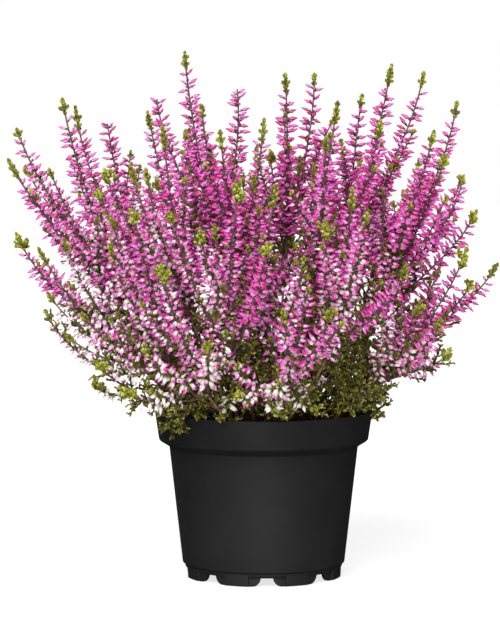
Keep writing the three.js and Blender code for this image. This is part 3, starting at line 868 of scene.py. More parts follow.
SPRAYS = (
    # left side, from the outermost in
    SprayPlan(0.41, ((-147, -57, 250), (-146, -12, 267), (-118, -30, 285)),
              more=((-136, -40, 232), (-127, -14, 244))),
    SprayPlan(0.41, ((-114, 28, 280), (-145, 40, 244), (-96, 51, 272)), budded=(2,)),
    SprayPlan(0.42, ((-146, -20, 206), (-115, -65, 204)),
              more=((-126, -40, 172), (-132, -34, 198))),
    SprayPlan(0.44, ((-47, 0, 312.5), (-65, 36, 287), (-16, 22, 293)), budded=(1, 2),
              more=((-32, 12, 256), (-46, 26, 244))),
    SprayPlan(0.41, ((-58, -79, 269), (-91, -77, 245), (-66, -117, 246)),
              more=((-77, -59, 247), (-96, -59, 232))),
    SprayPlan(0.42, ((-87, -111, 203), (-73, -132, 224), (-103, -91, 164)),
              more=((-87, -89, 219), (-114, -64, 150), (-96, -84, 136))),
    # front
    SprayPlan(0.44, ((0, -30, 273), (-36, -59, 281), (-25, -89, 267)),
              more=((-6, -59, 241), (-12, -16, 240))),
    SprayPlan(0.42, ((-14, -121, 240), (1, -141, 206), (-36, -126, 212)),
              more=((7, -89, 236), (-53, -109, 222), (-28, -109, 215))),
    SprayPlan(0.4, ((-57, -138, 194), (-32, -134, 151), (-67, -121, 149)), more=((-82, -92, 122),)),
    SprayPlan(0.4, ((10, -138, 169), (37, -134, 170))),
    SprayPlan(0.42, ((49, -111, 235), (56, -138, 222), (79, -111, 192)), more=((34, -118, 218),)),
    SprayPlan(0.44, ((43, -28, 283), (35, -83, 263), (67, -53, 272)), more=((30, -4, 246),)),
    SprayPlan(0.4, ((-12, -95, 185), (22, -101, 196)),
              more=((6, -94, 110), (32, -90, 112), (-16, -106, 120))),
    # top, right side
    SprayPlan(0.45, ((13, 6, 300), (31, 43, 300)), more=((4, 22, 254), (22, 18, 250))),
    SprayPlan(0.44, ((76, 0, 305), (60, 38, 287), (97, 30, 301)), more=((80, 12, 250),)),
    SprayPlan(0.41, ((114, -15, 283), (97, -61, 264), (115, -47, 238)), budded=(2,),
              more=((90, -44, 250), (84, -30, 232), (106, -36, 252), (98, -8, 240))),
    SprayPlan(0.41, ((106, 71, 265), (122, 40, 238), (127, 4, 218))),
    SprayPlan(0.4, ((120, -18, 197), (101, -73, 159), (109, -36, 139)),
              more=((110, -6, 160), (96, 6, 148), (92, -30, 166), (84, 20, 158))),
    SprayPlan(0.42, ((144.5, 59, 183), (126, 18, 175), (111, 91, 179)), more=((104, 44, 168),)),
    # back
    SprayPlan(0.42, ((-72, 79, 277), (-49, 113, 265), (-105, 91, 234)),
              more=((-42, 62, 214), (-66, 60, 236))),
    SprayPlan(0.44, ((-4, 122, 254), (-44, 136, 204), (20, 138, 206)),
              more=((-34, 84, 200), (6, 78, 216))),
    SprayPlan(0.41, ((62, 117, 250), (14, 81, 281), (89, 111, 218)),
              more=((78, 72, 202), (62, 66, 184))),
    SprayPlan(0.42, ((-93, 111, 159), (-121, 69, 171), (-57, 134, 149))),
    SprayPlan(0.42, ((61, 132, 161), (16, 140, 151))),
    SprayPlan(0.38, ((-99, -45, 123), (-132, 20, 157)), sparse=True),
)


@dataclass(frozen=True)
class ShootPlan:
    """A low leafy shoot.

    Attributes:
        root: where it leaves the peat.
        tip: its end.
        rise: how high it arches on the way.
        more: the ends of finer shoots from the same root.
    """

    root: tuple[float, float]
    tip: tuple[float, float, float]
    rise: float
    more: tuple[tuple[float, float, float], ...]


LOW_SHOOTS = (
    ShootPlan((-36, -36), (-57, -52, 95), 12,
              ((-39, -57, 101), (-49, -57, 93), (-60, -46, 92), (-52, -58, 128), (-30, -62, 132))),
    ShootPlan((-48, -20), (-78, -30, 104), 12, ((-62, -48, 102), (-56, -34, 140))),
    ShootPlan((50, -14), (71, -18, 98), 12,
              ((68, -8, 95), (69, 10, 98), (80, -12, 122), (74, 8, 138), (62, -20, 146),
               (66, 2, 118))),
    ShootPlan((40, -34), (62, -50, 112), 16,
              ((52, -54, 103), (70, -38, 110), (58, -46, 134), (42, -56, 128), (46, -36, 150))),
    ShootPlan((10, -50), (14, -66, 106), 12,
              ((-12, -62, 107), (30, -60, 104), (24, -62, 130), (2, -60, 136), (34, -48, 144),
               (4, -12, 126))),
    ShootPlan((46, 26), (76, 34, 106), 14,
              ((80, 24, 126), (64, 44, 130), (20, 20, 128), (67, 28, 180))),
    ShootPlan((-6, 52), (-4, 78, 104), 14, ((14, 74, 122), (-22, 72, 128), (2, 26, 130))),
    ShootPlan((-44, 30), (-72, 44, 104), 14, ((-76, 30, 124), (-58, 52, 130), (-20, 10, 128))),
)


@dataclass
class Growth:
    """A stem, spike or twig while it finds its place.

    Attributes:
        family: paths of one family don't push each other.
        ids: the numbers of its four points in the layout.
        room: the radius it needs at a share of the way.
        free: how far each of its points may move.
        lifted: whether it is raised clear of the peat and the rim.
    """

    family: int
    ids: list[int]
    room: Callable[[Array], Array]
    free: Sequence[float]
    lifted: bool = True


@dataclass
class Spray:
    """One spray's paths, once they are known."""

    number: int
    plan: SprayPlan
    first: Array
    sideways: Array
    stem: Growth
    spikes: list[Growth]
    twigs: list[Growth] = field(default_factory=list)


@dataclass
class LowShoot:
    """One low shoot's path."""

    number: int
    plan: ShootPlan
    first: Array
    sideways: Array
    growth: Growth


def summed(ids: Array, moves: Array, count: int) -> Array:
    """The sum of the moves of each id from 0 to count - 1, one row each."""
    return np.stack([np.bincount(ids, c, count) for c in moves.T], axis=-1)


class Layout:
    """Finds where every stem, spike and twig runs, by the rule that the CAD model grew by.

    The feet of the stems lean out with their sprays and keep a pitch. Each path is a cubic curve,
    and the curves then push each other apart until there is room for all of them.
    """

    BASE_SPREAD = 0.66
    BASE_PITCH = 9.0
    FOOT_LEAN = 1.35
    FORK_LEAN = 1.18
    TIP_LEAN = 0.5
    GREATEST_LEAN = 1.17
    FORK_FOLLOW = 0.4
    SWAY = 8.0
    STEM_RADIUS = 1.7
    KNUCKLE_RADIUS = 1.5
    SPIKE_RADIUS = 6.5
    TWIG_LENGTH = 24.0
    TWIG_RADIUS = 2.3
    TWIG_CORE = 0.9
    TWIGS_ON_STEM = (0.45, 0.8)
    TWIG_TURN = 2.4
    TWIG_SPLAY = 0.7
    TWIG_RISE = 2.0
    TWIG_SCALE = (0.8, 0.4)  # of the shortest, and what the longest has on top
    TWIG_BARE = 0.12  # share of a twig that has no leaves
    SPIKE_FILLS = (0.02, 0.12)  # shares of a spike between which it comes to its full room
    SHOOT_LEAN = 0.61
    SHOOT_CROWN = 0.62
    SAMPLES = 14
    ROUNDS = 160
    GAIN = 0.35
    ELBOW_ROOM = 0.7
    SILL_WIDTH = 6.0
    SILL_GAP = 1.0
    STEM_FREE = (0, 0.5, 1, 1)  # how far each of a curve's four points may move
    SPIKE_FREE = (1, 1, 1, 0)
    SHOOT_FREE = (0, 0.5, 1, 0)
    TWIG_FREE = (0, 0.3, 1, 1)
    FIXED = (0.0, 0.0, 0.0, 0.0)
    FOOT_POINTS = 8  # on the straight foot of a stem in the peat
    NEARBY = 1e-4  # share of a curve over which its direction is taken
    LOOK = 24.0  # pairs further apart than this aren't looked at until the next full look
    FULL_LOOKS = 16  # rounds at the start that each take a full look
    LOOK_EVERY = 8

    def __init__(self) -> None:
        """Lays the whole plant out."""
        self.points = np.zeros((0, 3))
        rows = enumerate(zip(SPRAYS, self._feet()), start=1)
        self.sprays = [self._spray(number, plan, foot) for number, (plan, foot) in rows]
        self.shoots = [self._shoot(number, plan) for number, plan in enumerate(LOW_SHOOTS, start=1)]
        paths = [g for s in self.sprays for g in (s.stem, *s.spikes)]
        paths += [s.growth for s in self.shoots]
        self._settle(paths)
        for growth in paths:
            growth.free = self.FIXED
        for spray in self.sprays:
            spray.twigs = self._twigs(spray)
        self._settle(paths + [g for s in self.sprays for g in s.twigs])

    def _add(self, points: Sequence[Array]) -> list[int]:
        """Adds points, and gives their numbers."""
        start = len(self.points)
        self.points = np.concatenate([self.points, np.array(points)])
        return list(range(start, start + len(points)))

    def _stem_room(self, at: Array) -> Array:
        """The room a stem needs, the same all along."""
        return self.STEM_RADIUS + 0 * at

    def _spike_room(self, at: Array) -> Array:
        """The room a spike needs: slim at the fork, full where it flowers."""
        return mix(self.KNUCKLE_RADIUS, self.SPIKE_RADIUS, ramp(at, *self.SPIKE_FILLS))

    def _twig_room(self, at: Array) -> Array:
        """The room a leafy twig needs."""
        return np.where(at < self.TWIG_BARE, self.TWIG_CORE, self.TWIG_RADIUS)

    def _feet(self) -> Array:
        """The feet of the stems: each leans with its spray, then they part to the pitch in turn."""
        feet = []
        for plan in SPRAYS:
            lean, turn = bearing(np.mean(plan.tips, axis=0) - UP * PEAT_CROWN_HEIGHT)
            outward = np.array([np.cos(turn), np.sin(turn)])
            feet.append(self.BASE_SPREAD * np.degrees(lean) * outward)
        for _ in range(self.ROUNDS):
            for a, one in enumerate(feet):
                for other in feet[a + 1 :]:
                    apart = one - other
                    distance = float(np.hypot(*apart))
                    if distance < self.BASE_PITCH:
                        apart *= (self.BASE_PITCH - distance) / (2 * distance)
                        one += apart
                        other -= apart
        return np.array(feet)

    def _spray(self, number: int, plan: SprayPlan, foot: Array) -> Spray:
        """Gives one spray its curves."""
        tips = np.array(plan.tips, float)
        base = np.array([*foot, peat_height(np.hypot(*foot))])
        line = tips.mean(axis=0) - base
        lean, turn = bearing(line)
        first = leaning(min(self.FOOT_LEAN * lean, self.GREATEST_LEAN), turn)
        onward = leaning(lean, turn)
        to_fork = leaning(min(self.FORK_LEAN * lean, self.GREATEST_LEAN), turn)
        fork = base + to_fork * plan.fork * np.linalg.norm(line)
        third = np.linalg.norm(fork - base) / 3
        ids = self._add([base, base + first * third, fork - onward * third, fork])
        stem = Growth(number, ids, self._stem_room, self.STEM_FREE, lifted=False)
        spikes = []
        for i, tip in enumerate(tips):
            way = tip - fork
            step = np.linalg.norm(way) / 3
            start = unit(unit(way) + self.FORK_FOLLOW * onward)
            tip_lean, tip_turn = bearing(tip - base)
            end = leaning(self.TIP_LEAN * tip_lean, tip_turn)
            sway = (chance(number, np.array([i, i + 3, i + 6])) - 0.5) * self.SWAY
            inner = self._add([fork + start * step, tip - end * step + sway, tip])
            spikes.append(Growth(number, [ids[3], *inner], self._spike_room, self.SPIKE_FREE))
        return Spray(number, plan, first, sideways_of(turn), stem, spikes)

    def _shoot(self, number: int, plan: ShootPlan) -> LowShoot:
        """Gives one low shoot its curve."""
        base = np.array([*plan.root, peat_height(np.hypot(*plan.root))])
        tip = np.array(plan.tip, float)
        turn = float(np.arctan2(tip[1] - base[1], tip[0] - base[0]))
        first = leaning(self.SHOOT_LEAN, turn)
        over = mix(base, tip, self.SHOOT_CROWN) + UP * plan.rise
        ids = self._add([base, base + first * plan.rise, over, tip])
        growth = Growth(-number, ids, self._twig_room, self.SHOOT_FREE)
        return LowShoot(number, plan, first, sideways_of(turn), growth)

    def _twigs(self, spray: Spray) -> list[Growth]:
        """Gives a stem its long twigs: each starts on it and stands out to one side."""
        stem = self.points[spray.stem.ids]
        shortest, extra = self.TWIG_SCALE
        found = []
        for i, share in enumerate(self.TWIGS_ON_STEM):
            start = bezier_weights(np.array(share)) @ stem
            near = bezier_weights(np.array([share - self.NEARBY, share + self.NEARBY])) @ stem
            along = unit(near[1] - near[0])
            over = unit(np.cross(along, spray.sideways))
            turn = self.TWIG_TURN * (i + 1) + spray.number
            outward = spray.sideways * np.cos(turn) + over * np.sin(turn)
            way = unit(along + self.TWIG_SPLAY * outward)
            length = self.TWIG_LENGTH * (shortest + extra * float(chance(spray.number, i + 9)))
            tip = start + way * length + UP * self.TWIG_RISE
            ids = self._add([start, start + way * length / 3, tip - way * length / 3, tip])
            found.append(Growth(spray.number, ids, self._twig_room, self.TWIG_FREE))
        return found

    def _lift(self, places: Array, radius: Array, lifted: Array) -> Array:
        """How far each sample has to rise to lie clear of the peat and the rim."""
        distance = np.hypot(places[:, 0], places[:, 1])
        sill = np.where(distance > RIM_RADIUS - self.SILL_WIDTH, POT_HEIGHT, peat_height(distance))
        lack = np.maximum(0.0, sill + radius + self.SILL_GAP - places[:, 2])
        return np.where(lifted & (distance < RIM_RADIUS + radius), lack, 0.0)

    def _settle(self, growths: list[Growth]) -> None:
        """Bends the paths clear of each other.

        Samples lie evenly on every path. Where two of different families are closer than their
        radii and some elbow room, each is moved half of what they lack, along the line between
        them. A path's four points share its samples' moves by the curve's own weights.

        Args:
            growths: every path that takes part.
        """
        at = (np.arange(self.SAMPLES) + 0.5) / self.SAMPLES
        weights = bezier_weights(at)
        ids = np.array([g.ids for g in growths])
        free = np.array([g.free for g in growths])
        radius = np.array([g.room(at) for g in growths]).ravel()
        family = np.repeat([g.family for g in growths], self.SAMPLES)
        lifted = np.repeat([g.lifted for g in growths], self.SAMPLES)
        stranger = np.triu(family[:, None] != family[None])
        one = other = np.zeros(0, int)
        for turn in range(self.ROUNDS):
            places = np.einsum("sk,nkc->nsc", weights, self.points[ids]).reshape(-1, 3)
            if turn < self.FULL_LOOKS or turn % self.LOOK_EVERY == 0:
                square = (places**2).sum(axis=1)
                gap = square[:, None] + square[None] - 2 * places @ places.T
                one, other = np.nonzero((gap < self.LOOK**2) & stranger)
            apart = places[one] - places[other]
            distance = np.linalg.norm(apart, axis=1)
            lack = np.maximum(0.0, radius[one] + radius[other] + self.ELBOW_ROOM - distance)
            move = apart * (lack / (2 * distance))[:, None]
            push = summed(one, move, len(places)) - summed(other, move, len(places))
            push[:, 2] += self._lift(places, radius, lifted)
            push = push.reshape(len(ids), -1, 3)
            shared = np.einsum("nsc,sk->nkc", push, weights) * free[..., None]
            np.add.at(self.points, ids.ravel(), self.GAIN * shared.reshape(-1, 3))

    def path(self, growth: Growth, sideways: Array, first: Array | None = None) -> Path:
        """The settled path of a growth, with its straight foot in the peat if it has one."""
        curve = Path.bezier(self.points[growth.ids], sideways)
        if first is None:
            return curve
        foot = curve.points[0] - np.linspace(ROOT_DEPTH, 1.0, self.FOOT_POINTS)[:, None] * first
        return Path(np.concatenate([foot, curve.points]), sideways)


# ---------------------------- leaves, buds, shoots


@dataclass(frozen=True)
class Habit:
    """How leaves or twigs clothe a stem.

    Attributes:
        pitch: the distance from one pair of leaves, or one twig, to the next.
        length: how long they are.
        tone: how young they are.
    """

    pitch: float
    length: float
    tone: float


@dataclass
class Foliage:
    """Puts leaves, buds and side shoots on paths, with a seeded draw for everything that varies."""

    heap: MeshHeap
    draws: np.random.Generator

    WHORL_PITCH = 4.2
    WHORL_STRAY = 0.75  # how far buds stray along the stem, against the pitch
    BUDS_IN_WHORL = 4.3
    THINS_FROM = 0.8  # share of a stretch above which buds are fewer and smaller
    MISSING = (0.05, 0.42)  # share of the buds that are left out, low down and at the top
    LEAST_FULL = (0.82, 0.8)  # scale of the lowest buds, and of the highest
    BUD_LENGTH = 5.35
    BUD_WIDTH = 2.9
    BUD_DEPTH = 0.94  # against its width
    BUD_LIFT = (0.16, 0.5)  # how far buds point along the stem, low down and at the top
    BUD_DROOP = 0.72  # how far the palest hang
    STALK_REACH = 2.9  # from the middle of the stem to where a bud sits
    STALK_RISE = 0.8  # how far a stalk runs along the stem, against out from it
    STALK_SHARE = 0.86  # how far along its stalk a bud begins
    KNOB_WIDTH = 1.8
    KNOB_PAST = 0.35  # how far the bracts reach past the stalk
    WOODY_BELOW = 0.16  # a knob that is less green than this is bark

    PALE_SIDE = ((30.0, 64.0), (108.0, 132.0))  # left of the axis: where it begins and ends
    PALE_LEAST = 0.07
    PALE_LOW = (0.3, 125.0, 265.0)  # how pale, and the heights between which that fades
    PALE_LOW_ON_SIDE = (0.38, 150.0, 285.0)
    PALE_AT_RIM = (0.32, 104.0, 142.0)
    PINK_RIGHT = (0.22, 60.0, 105.0)  # how much less pale, and where that comes in
    PALE_STRAY = 0.24

    LEAF_ASPECT = (0.5, 0.3)  # width and depth of a leaf against its length
    LEAF_LEAN = (0.68, 0.3)  # radians from the stem, low down and at the top
    LEAF_TURN = np.pi / 2 + 0.09  # from one pair to the next
    SPRIG_LENGTH = 4.4
    SPRIG_ASPECT = 0.55
    TWIG_SPRIG_ASPECT = 0.44
    SCALES_LENGTH = 7.5
    SCALES_WIDTH = 1.9
    SCALES_OVERLAP = 1.08  # length of a column against its pitch

    TIP_PITCH = 2.3  # from one pair of sprigs to the next
    TIP_SPAN = 0.92  # share of a tip that its pairs are spread over
    TIP_TURN = np.pi / 2 + 0.12
    TIP_STEEP = (0.85, 1.7)  # how far its sprigs run along the stem, at its foot and its head
    TIP_CORE = 0.95  # length of the sprigs in its core
    CROWN_AT = np.array([0.95, 0.8, 0.6])  # where smaller tips stand out, from the end
    CROWN_TURN = 2.2
    CROWN_STEEP = 1.35
    CROWN_LENGTH = 0.46  # against the main tip
    CROWN_CURL = 0.1
    CROWN_LEAFY = 0.42
    CROWN_FULLNESS = 0.88

    TWIG_TURN = 2.4  # radians round the stem from one twig, or sprig, to the next
    TWIG_ALONG = 0.75  # how far a twig runs along its stem, against out from it
    TWIG_UP = 0.2
    TWIG_CURL = 0.25  # how far it bends up, against its length
    TWIG_SPRIGS = 2.5  # the distance between its sprigs

    SHOOT_TURN = 2.6
    SHOOT_ASIDE = 0.6  # how far a side shoot turns aside, against along its stem
    SHOOT_UP = 0.2
    SHOOT_BACK = 0.3  # how far it turns back to the pot's axis
    SHOOT_CURL = 0.16
    SHOOT_POINTS = 12
    SHOOT_RINGS = 7
    SHOOT_RADII = (0.62, 0.42)
    SHOOT_BARE = 5.0
    SHOOT_BUDS = 0.95  # scale of its buds
    SHOOT_LEAVES = Habit(2.2, 2.0, 0.35)

    def spread(self, count: int, width: float = 1.0) -> Array:
        """Draws from -width / 2 to width / 2."""
        return (self.draws.random(count) - 0.5) * width

    def uneven(self, count: int, width: float = 0.3) -> Array:
        """Factors from 1 - width / 2 to 1 + width / 2."""
        return 1 + self.spread(count, width)

    def jitter(self, count: int, width: float) -> Array:
        """Small vectors in any direction."""
        return (self.draws.random((count, 3)) - 0.5) * width

    def steps(self, count: int) -> Array:
        """Shares from 0 to 1, one drawn from each of count equal steps."""
        return (np.arange(count) + self.draws.random(count)) / count

    @staticmethod
    def fading(value: Array, most: float, low: float, high: float) -> Array:
        """Falls smoothly from most to 0 while value goes from low to high."""
        return most * (1.0 - ramp(value, low, high))

    def paleness(self, places: Array, mood: float) -> Array:
        """How pale buds are: pink high up, paler on the left side, and white near the pot.

        Args:
            places: where they are.
            mood: a number added for the whole shoot.

        Returns:
            A tone from 0, all pink, to 1, all cream.
        """
        height, aside = places[:, 2], places[:, 0]
        begins, ends = self.PALE_SIDE
        left = ramp(-aside, *begins) * self.fading(-aside, 1.0, *ends)
        lows = [self.fading(height, *row) for row in (self.PALE_LOW, self.PALE_LOW_ON_SIDE)]
        less, *comes_in = self.PINK_RIGHT
        white = self.PALE_LEAST + mix(*lows, left)
        white = white + self.fading(height, *self.PALE_AT_RIM) - less * ramp(aside, *comes_in)
        return np.clip(white + mood + self.spread(len(places), self.PALE_STRAY), 0.0, 1.0)

    @staticmethod
    def radial(frames: Array, turn: Array) -> Array:
        """The directions out from a stem: across cos(turn) + over sin(turn)."""
        return frames[:, 0] * np.cos(turn)[:, None] + frames[:, 1] * np.sin(turn)[:, None]

    def buds(self, path: Path, start: float, end: float, mood: float, size: float) -> None:
        """Sets loose whorls of buds on a stretch of a path.

        A bud sits in a knob of bracts on a short stalk that leaves the stem at about 45 degrees. It
        points out level, and droops where it is pale. The lowest and the highest are smaller.

        Args:
            path: the stem.
            start: where the buds begin.
            end: where they end.
            mood: paleness of the whole shoot.
            size: scale of its buds.
        """
        whorls = max(2, round((end - start) / self.WHORL_PITCH))
        index = np.arange(round(whorls * self.BUDS_IN_WHORL))
        number = index // self.BUDS_IN_WHORL
        share = (number + 0.5 + self.spread(len(index), self.WHORL_STRAY)) / whorls
        turn = index * TURN / self.BUDS_IN_WHORL + self.spread(len(index))
        late = ramp(share, self.THINS_FROM, 1.0)
        keep = self.draws.random(len(index)) > mix(*self.MISSING, late)
        share, turn, late = share[keep], turn[keep], late[keep]
        count = len(share)
        places, frames = path.frames(mix(start, end, share))
        along, radial = frames[:, 2], self.radial(frames, turn)
        tone = self.paleness(places, mood)
        lowest, highest = self.LEAST_FULL
        full = mix(lowest, 1.0, ramp(share, 0.0, 0.12)) * mix(1.0, highest, late) * size
        stalk = unit(radial + along * (self.STALK_RISE + self.spread(count, 0.6))[:, None])
        reach = self.STALK_REACH * full * self.uneven(count)
        draw = self.draws.random(count)
        knob = self.KNOB_WIDTH * full * self.uneven(count)
        green = np.clip(0.1 + 0.65 * ramp(tone, 0.1, 0.9) + self.spread(count, 0.3), 0, 1)
        sizes = np.stack([knob, knob, reach + self.KNOB_PAST * full], -1)
        turned = frames_along(stalk, along)
        for surface in (Surface.BARK, Surface.LEAF):
            of = (green < self.WOODY_BELOW) == (surface is Surface.BARK)
            rows = (places[of], turned[of], sizes[of])
            self.heap.copies(BRACTS, *rows, surface, draw[of], green[of])
        droop = mix(0.0, self.BUD_DROOP, ramp(tone, 0.2, 0.85)) + self.spread(count, 0.3)
        lift = mix(*self.BUD_LIFT, ramp(share, 0.85, 1.0)) + self.spread(count, 0.6)
        way = radial + along * lift[:, None] - UP * droop[:, None] + self.jitter(count, 0.36)
        length = self.BUD_LENGTH * full * mix(1.0, 1.12, tone) * self.uneven(count, 0.34)
        width = self.BUD_WIDTH * full * self.uneven(count, 0.26)
        sizes = np.stack([width, width * self.BUD_DEPTH, length], -1)
        foot = places + stalk * (self.STALK_SHARE * reach)[:, None]
        self.heap.copies(BUD, foot, frames_along(unit(way), along), sizes, Surface.BUD, draw, tone)

    def leaf_pairs(
        self, places: Array, frames: Array, turn: Array, lean: Array, length: Array, tone: Array
    ) -> None:
        """Sets two opposite leaves at each place, leaning out from the way along.

        Args:
            places: n by 3.
            frames: the stem's frame at each place.
            turn: the angle round the stem of the first leaf.
            lean: the angle between each leaf and the stem.
            length: the length of the leaves.
            tone: how young they are.
        """
        places, frames = np.repeat(places, 2, axis=0), np.repeat(frames, 2, axis=0)
        turn = np.repeat(turn, 2) + np.tile([0.0, np.pi], len(turn))
        lean, length, tone = (np.repeat(v, 2) for v in (lean, length, tone))
        count = len(turn)
        radial = self.radial(frames, turn + self.spread(count, 0.5))
        way = unit(radial * np.sin(lean)[:, None] + frames[:, 2] * np.cos(lean)[:, None])
        grown = length * self.uneven(count)
        wide, deep = self.LEAF_ASPECT
        sizes = np.stack([grown * wide, grown * deep, grown], -1)
        draw = self.draws.random(count)
        self.heap.copies(LEAF, places, frames_along(way, radial), sizes, Surface.LEAF, draw, tone)

    def leaves(self, path: Path, start: float, end: float, habit: Habit) -> None:
        """Clothes a stretch of a path in pairs of leaves, each pair square to the last.

        Args:
            path: the stem.
            start: where the leaves begin.
            end: where they end.
            habit: how they sit.
        """
        count = max(2, round((end - start) / habit.pitch))
        number = np.arange(count)
        share = (number + 0.5) / count
        late = ramp(share, 0.6, 1.0)
        places, frames = path.frames(mix(start, end, share))
        turn = number * self.LEAF_TURN + self.draws.random()
        lean = mix(*self.LEAF_LEAN, late) + self.spread(count, 0.3)
        grown = habit.length * mix(1.0, 0.75, late)
        young = np.clip(habit.tone + 0.3 * ramp(share, 0.55, 1.0), 0, 1)
        self.leaf_pairs(places, frames, turn, lean, grown, young)

    def sprigs(
        self, places: Array, ways: Array, lengths: Array, tone: Array, aspect: float = SPRIG_ASPECT
    ) -> None:
        """Sets a stubby sprig of overlapping scale leaves, made as one knobbly form, at each place.

        Args:
            places: the foot of each sprig.
            ways: its direction.
            lengths: its length.
            tone: how young it is.
            aspect: its width against its length.
        """
        count = len(places)
        frames = frames_along(unit(ways), self.jitter(count, 2.0))
        width = aspect * lengths * self.uneven(count)
        sizes = np.stack([width, width, lengths], -1)
        self.heap.copies(SPRIG, places, frames, sizes, Surface.LEAF, self.draws.random(count), tone)

    def leafy_tip(self, path: Path, length: float, fullness: float, tone: float) -> None:
        """Ends a path in a knobbly tip: pairs of stubby sprigs round a core of the same.

        Args:
            path: the stem.
            length: how much of it the tip takes.
            fullness: scale of its sprigs.
            tone: how young it is.
        """
        pairs = max(2, round(length / (self.TIP_PITCH * fullness)))
        number = np.repeat(np.arange(pairs), 2)
        share = (number + 0.3) / pairs
        count = len(number)
        turn = number * self.TIP_TURN + np.tile([0.0, np.pi], pairs) + self.spread(count, 0.5)
        places, frames = path.frames(path.length - length * (1 - share) * self.TIP_SPAN)
        along = frames[:, 2]
        profile = mix(0.7, 1.0, ramp(share, 0.0, 0.3)) * mix(1.0, 0.6, ramp(share, 0.4, 1.0))
        lengths = self.SPRIG_LENGTH * fullness * profile * self.uneven(count, 0.25)
        steep = mix(*self.TIP_STEEP, share) + self.spread(count, 0.3)
        way = self.radial(frames, turn) + along * steep[:, None]
        young = np.clip(tone + 0.2 * share + self.spread(count, 0.25), 0, 1)
        self.sprigs(places, way, lengths, young)
        core = slice(0, None, 2)
        stub = np.full(pairs, self.SPRIG_LENGTH * self.TIP_CORE * fullness)
        self.sprigs(places[core], along[core], stub, np.clip(young[core] - 0.3, 0, 1))
        self.sprigs(places[-1:], along[-1:], stub[:1], young[-1:])

    def crowned_tip(self, path: Path, length: float, fullness: float, tone: float) -> None:
        """Ends a path in a bushy tip: a knobbly tip with three smaller ones standing out round it.

        Args:
            path: the stem.
            length: how much of it the tip takes.
            fullness: scale of its sprigs.
            tone: how young it is.
        """
        self.leafy_tip(path, length, fullness, tone)
        places, frames = path.frames(path.length - length * self.CROWN_AT)
        turn = self.draws.random() * 6.0 + np.arange(len(places)) * self.CROWN_TURN
        ways = unit(self.radial(frames, turn) + frames[:, 2] * self.CROWN_STEEP)
        for place, way in zip(places, ways):
            side = Path.arching(place, way, length * self.CROWN_LENGTH, length * self.CROWN_CURL)
            self.leafy_tip(side, length * self.CROWN_LEAFY, fullness * self.CROWN_FULLNESS, tone)

    def scaly(self, path: Path, start: float, tone: float, width: float = 1.0) -> None:
        """Clothes a path from a start to its end in scale leaves, as knobbly columns end to end.

        Args:
            path: the stem.
            start: where the scales begin.
            tone: how young they are.
            width: scale of the columns' width.
        """
        count = max(1, round((path.length - start) / self.SCALES_LENGTH))
        stops = np.linspace(start, path.length, count + 1)
        places, _ = path.frames(stops)
        ways = np.diff(places, axis=0)
        lengths = np.linalg.norm(ways, axis=1) * self.SCALES_OVERLAP
        wide = self.SCALES_WIDTH * width * self.uneven(count)
        frames = frames_along(unit(ways), self.jitter(count, 2.0))
        sizes = np.stack([wide, wide, lengths], -1)
        young = np.clip(tone + self.spread(count, 0.16), 0, 1)
        draw = self.draws.random(count)
        self.heap.copies(SCALES, places[:-1], frames, sizes, Surface.LEAF, draw, young)

    def leafy_twig(self, path: Path, tone: float) -> None:
        """Makes a twig: scale leaves all along it, with short sprigs to all sides."""
        self.scaly(path, 0.0, tone)
        count = max(2, round(path.length / self.TWIG_SPRIGS))
        share = self.steps(count)
        places, frames = path.frames(path.length * mix(0.12, 1.0, share))
        turn = np.arange(count) * self.TWIG_TURN + self.draws.random()
        way = self.radial(frames, turn) + frames[:, 2] * (0.9 + self.spread(count, 0.5))[:, None]
        lengths = self.SPRIG_LENGTH * mix(1.0, 0.62, share) * (0.95 + self.spread(count, 0.5))
        young = np.clip(tone + 0.1 + 0.12 * share + self.spread(count, 0.2), 0, 1)
        self.sprigs(places, way, lengths, young, self.TWIG_SPRIG_ASPECT)

    def side_twigs(self, path: Path, start: float, end: float, habit: Habit) -> None:
        """Sets leafy twigs along a stretch of a stem, turning round it and bending up.

        Args:
            path: the stem.
            start: where the first twig leaves.
            end: where the last one does.
            habit: how they sit.
        """
        count = max(1, round((end - start) / habit.pitch))
        places, frames = path.frames(mix(start, end, self.steps(count)))
        turn = np.arange(count) * self.TWIG_TURN + self.draws.random(count) * 1.2
        along, up = frames[:, 2] * self.TWIG_ALONG, UP * self.TWIG_UP
        ways = unit(along + self.radial(frames, turn) + up)
        grown = habit.length * (0.6 + 0.8 * self.draws.random(count))
        young = np.clip(habit.tone + 0.3 * (self.draws.random(count) - 0.4), 0, 1)
        for place, way, long, bright in zip(places, ways, grown, young):
            self.leafy_twig(Path.arching(place, way, long, long * self.TWIG_CURL), bright)

